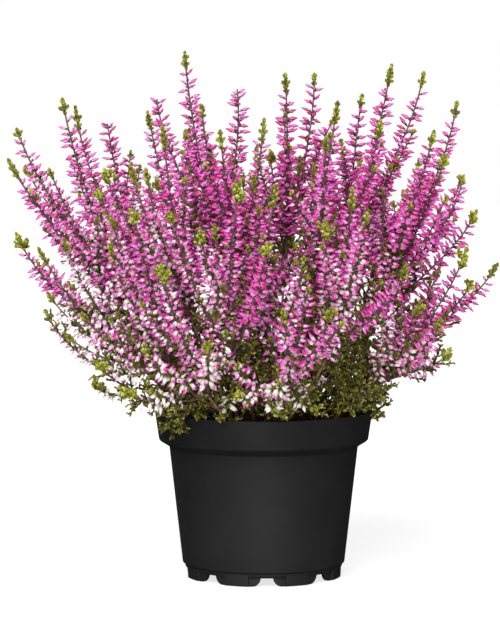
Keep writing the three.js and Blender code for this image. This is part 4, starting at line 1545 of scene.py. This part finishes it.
    def side_shoots(
        self, path: Path, start: float, end: float, count: int, length: float, mood: float
    ) -> None:
        """Sets flowering side shoots along a stretch of a stem, each with a small leafy tip.

        A shoot follows its stem, turned aside, a little up, and a little back to the pot's axis.

        Args:
            path: the stem.
            start: where the first shoot leaves.
            end: where the last one does.
            count: how many.
            length: their length.
            mood: how pale their buds are.
        """
        places, frames = path.frames(mix(start, end, self.steps(count)))
        turn = np.arange(count) * self.SHOOT_TURN + self.draws.random(count) * 2.0
        aside, up = self.radial(frames, turn) * self.SHOOT_ASIDE, UP * self.SHOOT_UP
        back = unit(places * [1.0, 1.0, 0.0]) * self.SHOOT_BACK
        ways = unit(frames[:, 2] + aside + up - back)
        grown = length * (0.65 + 0.7 * self.draws.random(count))
        for place, way, long in zip(places, ways, grown):
            shoot = Path.arching(place, way, long, long * self.SHOOT_CURL, self.SHOOT_POINTS)
            rings = np.linspace(0, shoot.length * 0.97, self.SHOOT_RINGS)
            radii = np.linspace(*self.SHOOT_RADII, self.SHOOT_RINGS)
            draw = float(self.draws.random())
            self.heap.skin(shoot, rings, radii, 4, Surface.BARK, draw, tone=0.3)
            bare = min(self.SHOOT_BARE, 0.25 * long)
            self.buds(shoot, bare, shoot.length - 3.5, mood, self.SHOOT_BUDS)
            self.leaves(shoot, 1.0, shoot.length * 0.4, self.SHOOT_LEAVES)
            self.leafy_tip(shoot, length=4.0, fullness=0.8, tone=0.6)


def frames_along(ways: Array, near: Array) -> Array:
    """Frames whose z runs along each way, with y as close to near as it can be.

    Where near runs along the way, the way's own numbers in another order stand in for across.

    Args:
        ways: n by 3, unit directions.
        near: n by 3, directions that aren't along the ways.

    Returns:
        n by 3 by 3, rows across, over and along.
    """
    across = np.cross(near, ways)
    lost = np.linalg.norm(across, axis=1, keepdims=True) < 1e-4
    across = unit(np.where(lost, ways[:, [1, 2, 0]], across))
    return np.stack([across, np.cross(ways, across), ways], axis=1)


# ---------------------------- the pieces


def hand_in(piece: bpy.types.Object, node: str) -> None:
    """Fastens a finished piece to the frame, in place of its CAD node."""
    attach(piece, "root")
    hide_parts(node)
    log.info("%s: %d faces, replaces %s", piece.name, len(piece.data.polygons), node)


@dataclass
class NurseryPot:
    """The moulded pot: a turned shell whose foot ring is cut by notches, with a drained floor."""

    notches: int = 8
    notch_turn: float = 2.3  # degrees from the pot's front to its nearest notch
    notch_height: float = 5.0
    notch_half: float = 3.9  # half its width at the top
    notch_corner: float = 5.4  # how wide the rounded corners of the feet beside it are
    recess_half: float = 11.1
    recess_height: float = 5.7
    recess_depth: float = 1.0
    drain_holes: int = 6
    drain_radius: float = 3.5
    drain_ring: float = 30.0

    HAIR = 0.1  # a margin by which a place is told apart
    FOOT_PITCH, WALL_PITCH, FLOOR_PITCH = 0.9, 12.0, 11.0  # between the rows of its section
    CORNER_POINTS = 7
    EDGE = 0.12  # half the width of a recess's side
    TOP_EDGE = 0.3  # half the height of its upper edge
    PLAIN_SPOTS = (13.4, 15.9)  # columns between a recess and the middle of its foot
    OUTER_SKIN = 1.2  # what lies this near to the ring's outside is recessed
    DRAIN_SIDES = 20
    CUT_MARGIN = 2.0  # how far the cutter reaches past the floor
    SHARP = 38.0  # degrees past which an edge stays sharp

    @property
    def sector(self) -> float:
        """The angle from one notch to the next."""
        return TURN / self.notches

    @property
    def front(self) -> float:
        """The angle of the notch nearest to the pot's front."""
        return float(np.radians(self.notch_turn - 90.0))

    def profile(self) -> Array:
        """The section, up the outside and down the inside: corners, each with its rounding.

        A rounded corner is a short quadratic curve between the points where the rounding begins.

        Returns:
            Rows of radius and height, from the axis under the floor to the axis on top of it.
        """
        wall = POT_WALL
        corners = [
            (FOOT_INNER_RADIUS, FLOOR_BOTTOM, 0.5),
            (FOOT_INNER_RADIUS, 0.0, 0.4),
            (FOOT_RADIUS - 0.3, 0.0, 0.4),
            (FOOT_RADIUS + 0.1, FOOT_HEIGHT - 0.1, 0.2),
            (FOOT_RADIUS + 1.4, FOOT_HEIGHT + 0.5, 0.4),
            (WALL_TOP_RADIUS, WALL_TOP_HEIGHT, 0.25),
            (BAND_FOOT_RADIUS - 0.2, BAND_FOOT_HEIGHT - 1.1, 0.9),
            (RIM_RADIUS, POT_HEIGHT, 0.5),
            (RIM_RADIUS - wall, POT_HEIGHT, 0.5),
            (BAND_FOOT_RADIUS - wall - 0.4, BAND_FOOT_HEIGHT + 0.9, 1.5),
            (WALL_TOP_RADIUS - wall, WALL_TOP_HEIGHT + 1.3, 1.5),
            (FOOT_RADIUS + 1.4 - wall, FLOOR_TOP + 0.6, 1.5),
        ]
        points = np.array([c[:2] for c in corners])
        before = np.concatenate([[[0.0, FLOOR_BOTTOM]], points[:-1]])
        after = np.concatenate([points[1:], [[0.0, FLOOR_TOP]]])
        rounding = np.array([c[2] for c in corners])[:, None]
        enter = points + unit(before - points) * rounding
        leave = points + unit(after - points) * rounding
        t = np.linspace(0, 1, 4)[None, :, None]
        enter, points, leave = enter[:, None], points[:, None], leave[:, None]
        arcs = (1 - t) ** 2 * enter + 2 * t * (1 - t) * points + t**2 * leave
        return np.concatenate([[[0.0, FLOOR_BOTTOM]], arcs.reshape(-1, 2), [[0.0, FLOOR_TOP]]])

    def rows(self) -> Array:
        """The section with points added where it runs straight, closest on the foot ring."""
        section = self.profile()
        steps = np.linalg.norm(np.diff(section, axis=0), axis=1)
        radius, height = section[:-1].T
        pitch = np.where(height < FOOT_HEIGHT + self.HAIR, self.FOOT_PITCH, self.WALL_PITCH)
        pitch = np.where(radius < FOOT_INNER_RADIUS - self.HAIR, self.FLOOR_PITCH, pitch)
        counts = np.maximum(1, np.ceil(steps / pitch)).astype(int)
        start = np.repeat(section[:-1], counts, axis=0)
        step = np.repeat(np.diff(section, axis=0) / counts[:, None], counts, axis=0)
        index = np.concatenate([np.arange(c) for c in counts])[:, None]
        return np.concatenate([start + step * index, section[-1:]])

    def columns(self) -> Array:
        """Angles round the pot, close together where the foot ring is cut."""
        half = np.pi / self.notches * FOOT_RADIUS
        quarter = np.linspace(0, np.pi / 2, self.CORNER_POINTS)
        corner = self.notch_half + self.notch_corner * (1 - np.cos(quarter))
        edge = self.recess_half + np.array([-self.EDGE, self.EDGE])
        middle, plain = [0.0, self.notch_half - 0.05], [*self.PLAIN_SPOTS, half]
        spots = np.concatenate([middle, corner, edge, plain])
        spots = np.concatenate([-spots[::-1], spots[1:-1]])
        centres = self.front + self.sector * np.arange(self.notches)
        return (centres[:, None] + spots / FOOT_RADIUS).ravel()

    def lower_edge(self, across: Array) -> Array:
        """The height of the foot ring's lower edge at a distance from the middle of a notch.

        It is the notch's height inside the notch, then a quarter of an ellipse down to nothing:
        with s the distance past the notch's side, as a share of the corner's width, the share of
        the height is 1 - sqrt(1 - (1 - s)^2).

        Args:
            across: distances from the middle of the notch.

        Returns:
            The heights.
        """
        inward = np.clip(1 - (np.abs(across) - self.notch_half) / self.notch_corner, 0, 1)
        return self.notch_height * (1 - np.sqrt(1 - inward**2))

    def build(self, finish: bpy.types.Material) -> bpy.types.Object:
        """Turns the section about the axis, cuts the foot, and drills the floor."""
        rows, angle = self.rows(), self.columns()
        radius, height = (rows[:, i][:, None] + 0 * angle for i in range(2))
        half = self.sector / 2
        across = ((angle - self.front + half) % self.sector - half) * FOOT_RADIUS
        in_foot = (radius > FOOT_INNER_RADIUS - self.HAIR) & (height < FOOT_HEIGHT + self.HAIR)
        edge = self.lower_edge(across)
        height = np.where(in_foot, edge + height * (1 - edge / FOOT_HEIGHT), height)
        outer = in_foot & (radius > FOOT_RADIUS - self.OUTER_SKIN)
        side, top = self.recess_half, self.recess_height
        sunk = 1 - ramp(np.abs(across), side - self.EDGE, side + self.EDGE)
        sunk = sunk * (1 - ramp(height, top - self.TOP_EDGE, top + self.TOP_EDGE))
        radius = np.where(outer, radius - self.recess_depth * sunk, radius)
        skin = np.stack([radius * np.cos(angle), radius * np.sin(angle), height], -1)[1:-1]
        faces, _ = ring_faces(len(skin), len(angle))
        points = np.concatenate([skin.reshape(-1, 3), [[0, 0, FLOOR_BOTTOM], [0, 0, FLOOR_TOP]]])
        mesh = mesh_from("nursery_pot", points * MM, faces)
        mesh.materials.append(finish)
        pot = placed("nursery_pot", mesh)
        self.drill(pot)
        pot.data.polygons.foreach_set("use_smooth", np.ones(len(pot.data.polygons), bool))
        pot.data.set_sharp_from_angle(angle=np.radians(self.SHARP))
        return pot

    def drill(self, pot: bpy.types.Object) -> None:
        """Cuts the drain holes, in a ring round the middle of the floor."""
        turn, around = round_turn(self.drain_holes)[:, None], round_turn(self.DRAIN_SIDES)
        x = self.drain_ring * np.cos(turn) + self.drain_radius * np.cos(around)
        y = self.drain_ring * np.sin(turn) + self.drain_radius * np.sin(around)
        lowest = FLOOR_BOTTOM - self.CUT_MARGIN
        lift = UP * (FLOOR_TOP - FLOOR_BOTTOM + 2 * self.CUT_MARGIN)
        ring, _ = ring_faces(2, self.DRAIN_SIDES)
        points, faces = [], []
        for i in range(self.drain_holes):
            low = np.stack([x[i], y[i], 0 * x[i] + lowest], -1)
            centre = np.array([x[i].mean(), y[i].mean(), lowest])
            points.append(np.concatenate([low, low + lift, [centre, centre + lift]]))
            faces.append(ring + i * len(points[0]))
        mesh = mesh_from("drain_cutter", np.concatenate(points) * MM, np.concatenate(faces))
        cutter = placed("drain_cutter", mesh)
        cut = pot.modifiers.new("drains", "BOOLEAN")
        cut.operation = "DIFFERENCE"
        cut.solver = "EXACT"
        cut.object = cutter
        bpy.context.view_layer.update()
        graph = bpy.context.evaluated_depsgraph_get()
        drilled = bpy.data.meshes.new_from_object(pot.evaluated_get(graph))
        pot.modifiers.clear()
        pot.data = drilled
        bpy.data.objects.remove(cutter)


@dataclass
class PeatFill:
    """The peat: a block that fills the pot, with a crumbly, fibrous top."""

    rings: int = 34
    columns: int = 120
    crumbs: int = 1000
    fibres: int = 170
    seed: int = 7

    WAVES = ((0.13, 0.9), (0.41, 0.45), (0.97, 0.28), (2.1, 0.16))  # radians in a mm, and height
    FILL_BOTTOM = FLOOR_TOP + 1.0
    INSIDE = 0.985  # crumbs and fibres stay within this share of the edge
    FIBRE_RADII = np.array([0.1, 0.17, 0.18, 0.15, 0.07])

    def lumps(self, x: Array, y: Array) -> Array:
        """The unevenness of the surface: four pairs of crossed sine waves, each finer and lower."""
        parts = [
            high * np.sin(fine * (x + 3.1 * k)) * np.cos(fine * (1.1 * y - 1.7 * k))
            for k, (fine, high) in enumerate(self.WAVES)
        ]
        return np.sum(parts, axis=0)

    def build(self, finish: bpy.types.Material) -> bpy.types.Object:
        """Makes the block, then scatters crumbs and fibres on it."""
        edge = BAND_FOOT_RADIUS - POT_WALL - 2 * AIR
        wall = POT_WALL + AIR
        top = edge * np.sqrt(np.linspace(1.0, 0.0, self.rings, endpoint=False))
        lower = np.array(
            [
                [FOOT_RADIUS - wall, self.FILL_BOTTOM],
                [WALL_TOP_RADIUS - wall - AIR, WALL_TOP_HEIGHT + 1.2],
                [BAND_FOOT_RADIUS - wall - 2 * AIR, BAND_FOOT_HEIGHT + 1.2],
                [edge, PEAT_EDGE_HEIGHT - 2.5],
            ]
        )
        angle = round_turn(self.columns)
        radius = np.concatenate([lower[:, 0], top])[:, None] + 0 * angle
        height = np.concatenate([lower[:, 1], peat_height(top)])[:, None] + 0 * angle
        x, y = radius * np.cos(angle), radius * np.sin(angle)
        on_top = np.arange(len(radius))[:, None] >= len(lower)
        height = height + np.where(on_top, self.lumps(x, y), 0.0)
        poles = [[0, 0, self.FILL_BOTTOM], [0, 0, PEAT_CROWN_HEIGHT]]
        points = np.concatenate([np.stack([x, y, height], -1).reshape(-1, 3), poles])
        heap = MeshHeap()
        heap.shell(points, self.columns, np.zeros(len(points)), Surface.BARK, draw=0.0, tone=0.0)
        draws = np.random.default_rng(self.seed)
        self.scatter_crumbs(heap, draws, edge)
        self.scatter_fibres(heap, draws, edge)
        return heap.build("peat_fill", [finish, finish, finish])

    def scatter_crumbs(self, heap: MeshHeap, draws: np.random.Generator, edge: float) -> None:
        """Drops crumbs over the surface, each sunk by a third."""
        distance = edge * np.sqrt(draws.random(self.crumbs)) * self.INSIDE
        turn = draws.random(self.crumbs) * TURN
        x, y = distance * np.cos(turn), distance * np.sin(turn)
        size = 0.7 + 2.1 * draws.random(self.crumbs) ** 2.5
        sizes = size[:, None] * (0.7 + 0.6 * draws.random((self.crumbs, 3)))
        way = unit(draws.normal(size=(self.crumbs, 3)))
        near = unit(draws.normal(size=(self.crumbs, 3)))
        surface = np.stack([x, y, peat_height(distance) + self.lumps(x, y)], -1)
        places = surface - way * sizes[:, 2:] / 2 + UP * 0.15 * size[:, None]
        tone = draws.random(self.crumbs)
        frames = frames_along(way, near)
        heap.copies(CRUMB, places, frames, sizes, Surface.BARK, tone, tone)

    def scatter_fibres(self, heap: MeshHeap, draws: np.random.Generator, edge: float) -> None:
        """Lays thin crooked fibres on the surface."""
        for _ in range(self.fibres):
            distance = edge * 0.95 * np.sqrt(draws.random())
            turn = draws.random() * TURN
            heading = draws.random() * TURN
            length = 3 + 7 * draws.random()
            share = np.linspace(-0.5, 0.5, len(self.FIBRE_RADII))
            bend = (draws.random() - 0.5) * 1.6
            x = distance * np.cos(turn) + length * share * np.cos(heading + bend * share)
            y = distance * np.sin(turn) + length * share * np.sin(heading + bend * share)
            away = np.hypot(x, y)
            shrink = np.minimum(1.0, edge * self.INSIDE / away)
            x, y = x * shrink, y * shrink
            rise = 0.25 + 0.7 * draws.random() * (1 - 4 * share**2)
            z = peat_height(np.hypot(x, y)) + self.lumps(x, y) + rise
            path = Path(np.stack([x, y, z], -1), UP)
            draw = float(draws.random())
            heap.skin(path, path.reach, self.FIBRE_RADII, 3, Surface.BARK, draw, tone=0.5)


@dataclass
class SprayPieces:
    """The two pieces of one spray: its wood and its blooms."""

    layout: Layout
    spray: Spray
    finishes: Sequence[bpy.types.Material]

    FOOT_RADIUS, FORK_RADIUS, TIP_RADIUS = 1.0, 0.7, 0.5
    STEM_LEAVES = Habit(pitch=2.4, length=2.1, tone=0.2)
    SPIKE_LEAVES = Habit(2.0, 2.1, 0.25)
    STEM_TWIGS = Habit(2.9, 16.0, 0.16)
    SPIKE_TWIGS = Habit(4.6, 11.5, 0.2)
    SPARSE_STEM_TWIGS = Habit(2.9, 6.0, 0.16)
    SPARSE_SPIKE_TWIGS = Habit(5.0, 6.0, 0.32)
    LONG_TWIG_TONE = 0.42
    TWIGGY_LENGTH = 40.0  # of a spike, from the fork
    STEM_SHOOTS = 2
    STEM_SHOOT_LENGTH = 21.0
    STEM_SHOOTS_FROM = 0.35  # share of the stem
    SPIKE_SHOOTS_ON = (0.1, 0.42)  # shares of a spike
    SPIKE_SHOOT_LENGTH = 40.0  # at most
    SPIKE_SHOOT_SHARE = 0.45  # of the spike's own length, at most
    TWO_SHOOTS_FROM = 95.0  # a spike longer than this has two
    BARE_LENGTH = 15.0
    SPARSE_BUDS = 0.6  # scale of the buds on a sparse spray
    TIP_LENGTHS = (12.0, 7.5, 9.5)
    BUDDED_TIP = 1.0  # where there is no leafy tip
    BUSHY_BELOW = 262.0  # no tip above this height is bushy
    TIP_TONE, BUSHY_TIP_TONE = 0.54, 0.64
    FINE_SPIKE = 0.92  # scale of the buds and the tip on a slimmer spike
    FINE_START = 0.3  # how far it sets out downwards
    FINE_END = 40.0  # how far its end turns up
    WOOD_SEED, BLOOM_SEED = 100, 200  # to which a spray's number is added

    @property
    def label(self) -> str:
        """The spray's name."""
        return f"spray_{self.spray.number:02d}"

    @property
    def fork(self) -> Array:
        """Where its spikes begin."""
        return self.layout.points[self.spray.stem.ids[3]]

    def lot(self, channel: int) -> float:
        """The spray's own repeatable number from 0 to 1 on a channel."""
        return float(chance(self.spray.number, channel))

    def wood(self) -> bpy.types.Object:
        """The stem, dense with dark leafy twigs, and some side shoots that flower."""
        spray, sparse, heap = self.spray, self.spray.plan.sparse, MeshHeap()
        foliage = Foliage(heap, np.random.default_rng(self.WOOD_SEED + spray.number))
        path = self.layout.path(spray.stem, spray.sideways, spray.first)
        share = np.linspace(0, 1, 16)
        radii = mix(self.FOOT_RADIUS, self.FORK_RADIUS, share)
        heap.skin(path, share * (path.length - 0.4), radii, 6, Surface.BARK, draw=0.8, tone=0.85)
        for twig in spray.twigs:
            twig_path = self.layout.path(twig, spray.sideways)
            if sparse:
                twig_path = Path(twig_path.points[: len(twig_path.points) // 2], spray.sideways)
            foliage.leafy_twig(twig_path, self.LONG_TWIG_TONE)
        start, end = ROOT_DEPTH + 2.0, path.length
        foliage.side_twigs(path, start, end, self.SPARSE_STEM_TWIGS if sparse else self.STEM_TWIGS)
        foliage.leaves(path, start, end, self.STEM_LEAVES)
        if not sparse:
            first, mood = start + self.STEM_SHOOTS_FROM * end, 0.16 * self.lot(21) - 0.06
            foliage.side_shoots(path, first, end, self.STEM_SHOOTS, self.STEM_SHOOT_LENGTH, mood)
        return heap.build(f"{self.label}_wood", self.finishes)

    def spike_paths(self) -> list[tuple[Path, float]]:
        """Each spike's path and the scale of its buds: settled spikes, then the slimmer ones."""
        spray, fork = self.spray, self.fork
        found = [(self.layout.path(spike, spray.sideways), 1.0) for spike in spray.spikes]
        for tip in spray.plan.more:
            way = np.array(tip, float) - fork
            step = np.linalg.norm(way) / 3
            start = unit(unit(way) - self.FINE_START * UP)
            end = unit(way + self.FINE_END * UP)
            points = np.array([fork, fork + start * step, tip - end * step, tip])
            found.append((Path.bezier(points, spray.sideways), self.FINE_SPIKE))
        return found

    def blooms(self) -> bpy.types.Object:
        """The spikes: bare for a little, then all buds, then a leafy tip or a few small buds."""
        heap = MeshHeap()
        foliage = Foliage(heap, np.random.default_rng(self.BLOOM_SEED + self.spray.number))
        for i, (path, scale) in enumerate(self.spike_paths()):
            share = np.linspace(0, 1, 20)
            radii = mix(self.FORK_RADIUS, self.TIP_RADIUS, share) * scale
            heap.skin(path, share * (path.length - 1.0), radii, 5, Surface.BARK, draw=0.4, tone=0.3)
            mood = 0.3 * self.lot(i + 30) - 0.17
            budded = i in self.spray.plan.budded
            tip = self.TIP_LENGTHS[i % 3] * (0.8 + 0.45 * self.lot(i + 40)) * scale
            tip = self.BUDDED_TIP if budded else tip
            if self.spray.plan.sparse:
                self.dress_sparse(foliage, path, mood)
            else:
                self.dress(foliage, path, mood, scale, tip)
            if not budded:
                low = path.points[-1, 2] < self.BUSHY_BELOW
                bushy = low and self.lot(i + 50) > 0.5
                make_tip = foliage.crowned_tip if bushy else foliage.leafy_tip
                make_tip(path, tip, scale, self.BUSHY_TIP_TONE if bushy else self.TIP_TONE)
        return heap.build(f"{self.label}_blooms", self.finishes)

    def dress_sparse(self, foliage: Foliage, path: Path, mood: float) -> None:
        """Clothes a spike that is mostly leafy: scales, short twigs, and small buds high up."""
        foliage.scaly(path, start=0.0, tone=0.3, width=0.9)
        foliage.side_twigs(path, 4.0, path.length - 4.0, self.SPARSE_SPIKE_TWIGS)
        foliage.buds(path, 0.4 * path.length, path.length - 8.0, mood, self.SPARSE_BUDS)

    def dress(self, foliage: Foliage, path: Path, mood: float, scale: float, tip: float) -> None:
        """Clothes a flowering spike: buds up to its tip, and leaves, twigs and shoots low down.

        Args:
            foliage: what puts them on.
            path: the spike.
            mood: how pale its buds are.
            scale: scale of its buds and shoots.
            tip: the length of its tip.
        """
        foliage.buds(path, self.BARE_LENGTH, path.length - tip - 0.3, mood, scale)
        foliage.leaves(path, 2.0, path.length * 0.3, self.SPIKE_LEAVES)
        foliage.side_twigs(path, 1.0, self.TWIGGY_LENGTH, self.SPIKE_TWIGS)
        branches = 1 + int(path.length > self.TWO_SHOOTS_FROM)
        long = min(self.SPIKE_SHOOT_LENGTH, self.SPIKE_SHOOT_SHARE * path.length) * scale
        first, last = (share * path.length for share in self.SPIKE_SHOOTS_ON)
        foliage.side_shoots(path, first, last, branches, long, mood)


@dataclass
class LowShootPiece:
    """A green shoot that leans over the rim, with finer ones from the same root."""

    layout: Layout
    shoot: LowShoot
    finishes: Sequence[bpy.types.Material]

    FINE_RISE = 17.0  # how high the finer shoots arch
    FINE_CROWN = 0.7  # how far out along one it is highest
    RADII = (0.6, 0.32)
    SEED = 300  # to which the shoot's number is added
    TWIGS = Habit(pitch=2.4, length=10.0, tone=0.24)
    FINE_TWIGS = Habit(3.4, 10.0, 0.24)

    def paths(self) -> list[Path]:
        """The settled shoot, then the finer ones, which arch over the rim."""
        shoot = self.shoot
        found = [self.layout.path(shoot.growth, shoot.sideways, shoot.first)]
        base = np.array([*shoot.plan.root, peat_height(np.hypot(*shoot.plan.root)) - 1.0])
        for tip in shoot.plan.more:
            over = mix(base, np.array(tip), self.FINE_CROWN) + UP * self.FINE_RISE
            points = np.array([base, base + shoot.first * self.FINE_RISE, over, tip])
            found.append(Path.bezier(points, shoot.sideways))
        return found

    def build(self) -> bpy.types.Object:
        """Makes the shoots: thin stems, with leaves and sprigs all along them."""
        heap = MeshHeap()
        foliage = Foliage(heap, np.random.default_rng(self.SEED + self.shoot.number))
        for i, path in enumerate(self.paths()):
            share = np.linspace(0, 1, 10)
            rings, radii = share * path.length * 0.99, mix(*self.RADII, share)
            heap.skin(path, rings, radii, 4, Surface.BARK, draw=0.7, tone=0.7)
            start, twigs = (3.0, self.FINE_TWIGS) if i else (ROOT_DEPTH + 2.0, self.TWIGS)
            foliage.scaly(path, start, tone=0.26)
            foliage.side_twigs(path, start, path.length - 2, twigs)
            foliage.leafy_tip(path, length=5.0, fullness=0.7, tone=0.36)
        return heap.build(f"low_shoot_{self.shoot.number}_leaves", self.finishes)


# ---------------------------- the studio


@dataclass(frozen=True)
class Lamp:
    """A wide soft light from far away.

    Attributes:
        name: its name.
        side: the direction that it comes from.
        angle: how wide it looks, in degrees.
        strength: its light, in watts on a square metre.
    """

    name: str
    side: tuple[float, float, float]
    angle: float
    strength: float

    def build(self) -> None:
        """Makes the lamp."""
        light = bpy.data.lights.new(self.name, "SUN")
        light.angle = np.radians(self.angle)
        light.energy = self.strength
        lamp = bpy.data.objects.new(self.name, light)
        lamp.rotation_euler = (-Vector(self.side)).to_track_quat("-Z", "Y").to_euler()
        bpy.context.scene.collection.objects.link(lamp)


@dataclass
class Studio:
    """A pale floor, a white world, four wide lamps and the camera.

    Floor and world light the object softly, but only the lamps show in its gloss, as between a
    studio's black screens. The key lamp stands high in front.
    """

    distance: float = 1.7  # metres from the pot's axis to the camera
    camera_height: float = 0.286
    aside: float = -0.0082
    aim_height: float = 0.15395
    lens: float = 159.8
    sensor: float = 36.0
    floor_radius: float = 6.0
    floor_sides: int = 96
    floor_gap: float = 0.0002  # between the floor and the pot
    horizon_light: float = 1.0
    zenith_light: float = 0.15
    dims_between: tuple[float, float] = (0.1, 0.4)  # heights of the way up

    LAMPS = (
        Lamp("key", (-0.26, -1.0, 0.95), 40.0, 2.9),
        Lamp("front", (0.0, -1.0, 0.16), 52.0, 0.95),
        Lamp("fill", (0.9, -0.4, 0.7), 60.0, 0.25),
        Lamp("back", (-0.35, 1.0, 0.75), 60.0, 0.9),
    )

    def build(self) -> None:
        """Makes the floor, the lights, the world and the camera."""
        self.floor()
        for lamp in self.LAMPS:
            lamp.build()
        self.sky()
        bpy.context.scene.view_settings.view_transform = "Standard"
        self.camera()

    def floor(self) -> None:
        """A wide round floor."""
        angle = round_turn(self.floor_sides)
        ring = self.floor_radius * np.stack([np.cos(angle), np.sin(angle), 0 * angle], -1)
        mesh = mesh_from("floor", ring - UP * self.floor_gap, np.arange(len(ring))[None])
        mesh.materials.append(FloorFinish().material())
        floor = placed("floor", mesh)
        floor.visible_glossy = False
        floor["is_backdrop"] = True

    def sky(self) -> None:
        """A white world that is brightest at eye level and dimmer overhead."""
        world = bpy.data.worlds.new("studio")
        world.use_nodes = True
        nodes = Nodes(world.node_tree)
        way = nodes.node("ShaderNodeTexCoord", {}, {}, "Generated")
        height = nodes.node("ShaderNodeSeparateXYZ", {}, {0: way}, 2)
        dimmed = self.horizon_light - self.zenith_light
        strength = self.horizon_light - height.stepped(*self.dims_between) * dimmed
        background = world.node_tree.nodes["Background"]
        background.inputs["Color"].default_value = (1.0, 1.0, 1.0, 1.0)
        nodes.feed(background.inputs["Strength"], strength)
        world.cycles_visibility.glossy = False
        bpy.context.scene.world = world

    def camera(self) -> None:
        """The camera: a long lens, a little above the plant's middle, looking slightly down."""
        eye = bpy.data.objects.new("camera", bpy.data.cameras.new("camera"))
        eye.location = (self.aside, -self.distance, self.camera_height)
        aim = Vector((self.aside, 0, self.aim_height))
        eye.rotation_euler = (aim - eye.location).to_track_quat("-Z", "Y").to_euler()
        eye.data.lens = self.lens
        eye.data.sensor_width = self.sensor
        bpy.context.scene.collection.objects.link(eye)
        bpy.context.scene.camera = eye


def main() -> None:
    """Builds the pot, the peat, every spray and low shoot, and the studio."""
    logging.basicConfig(level=logging.INFO, format="%(name)s %(message)s")
    Studio().build()
    hand_in(NurseryPot().build(PotPlastic().material()), "pot")
    hand_in(PeatFill().build(PeatFinish().material()), "peat")
    finishes = [BarkFinish().material(), LeafFinish().material(), BudFinish().material()]
    layout = Layout()
    for spray in layout.sprays:
        pieces = SprayPieces(layout, spray, finishes)
        hand_in(pieces.wood(), f"{pieces.label}_stem")
        hand_in(pieces.blooms(), f"{pieces.label}_flowers")
    for shoot in layout.shoots:
        piece = LowShootPiece(layout, shoot, finishes).build()
        hand_in(piece, f"low_shoot_{shoot.number}")
    faces = sum(len(p.data.polygons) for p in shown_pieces() if p.type == "MESH")
    log.info("all pieces: %d faces", faces)


if __name__ == "__main__":
    main()
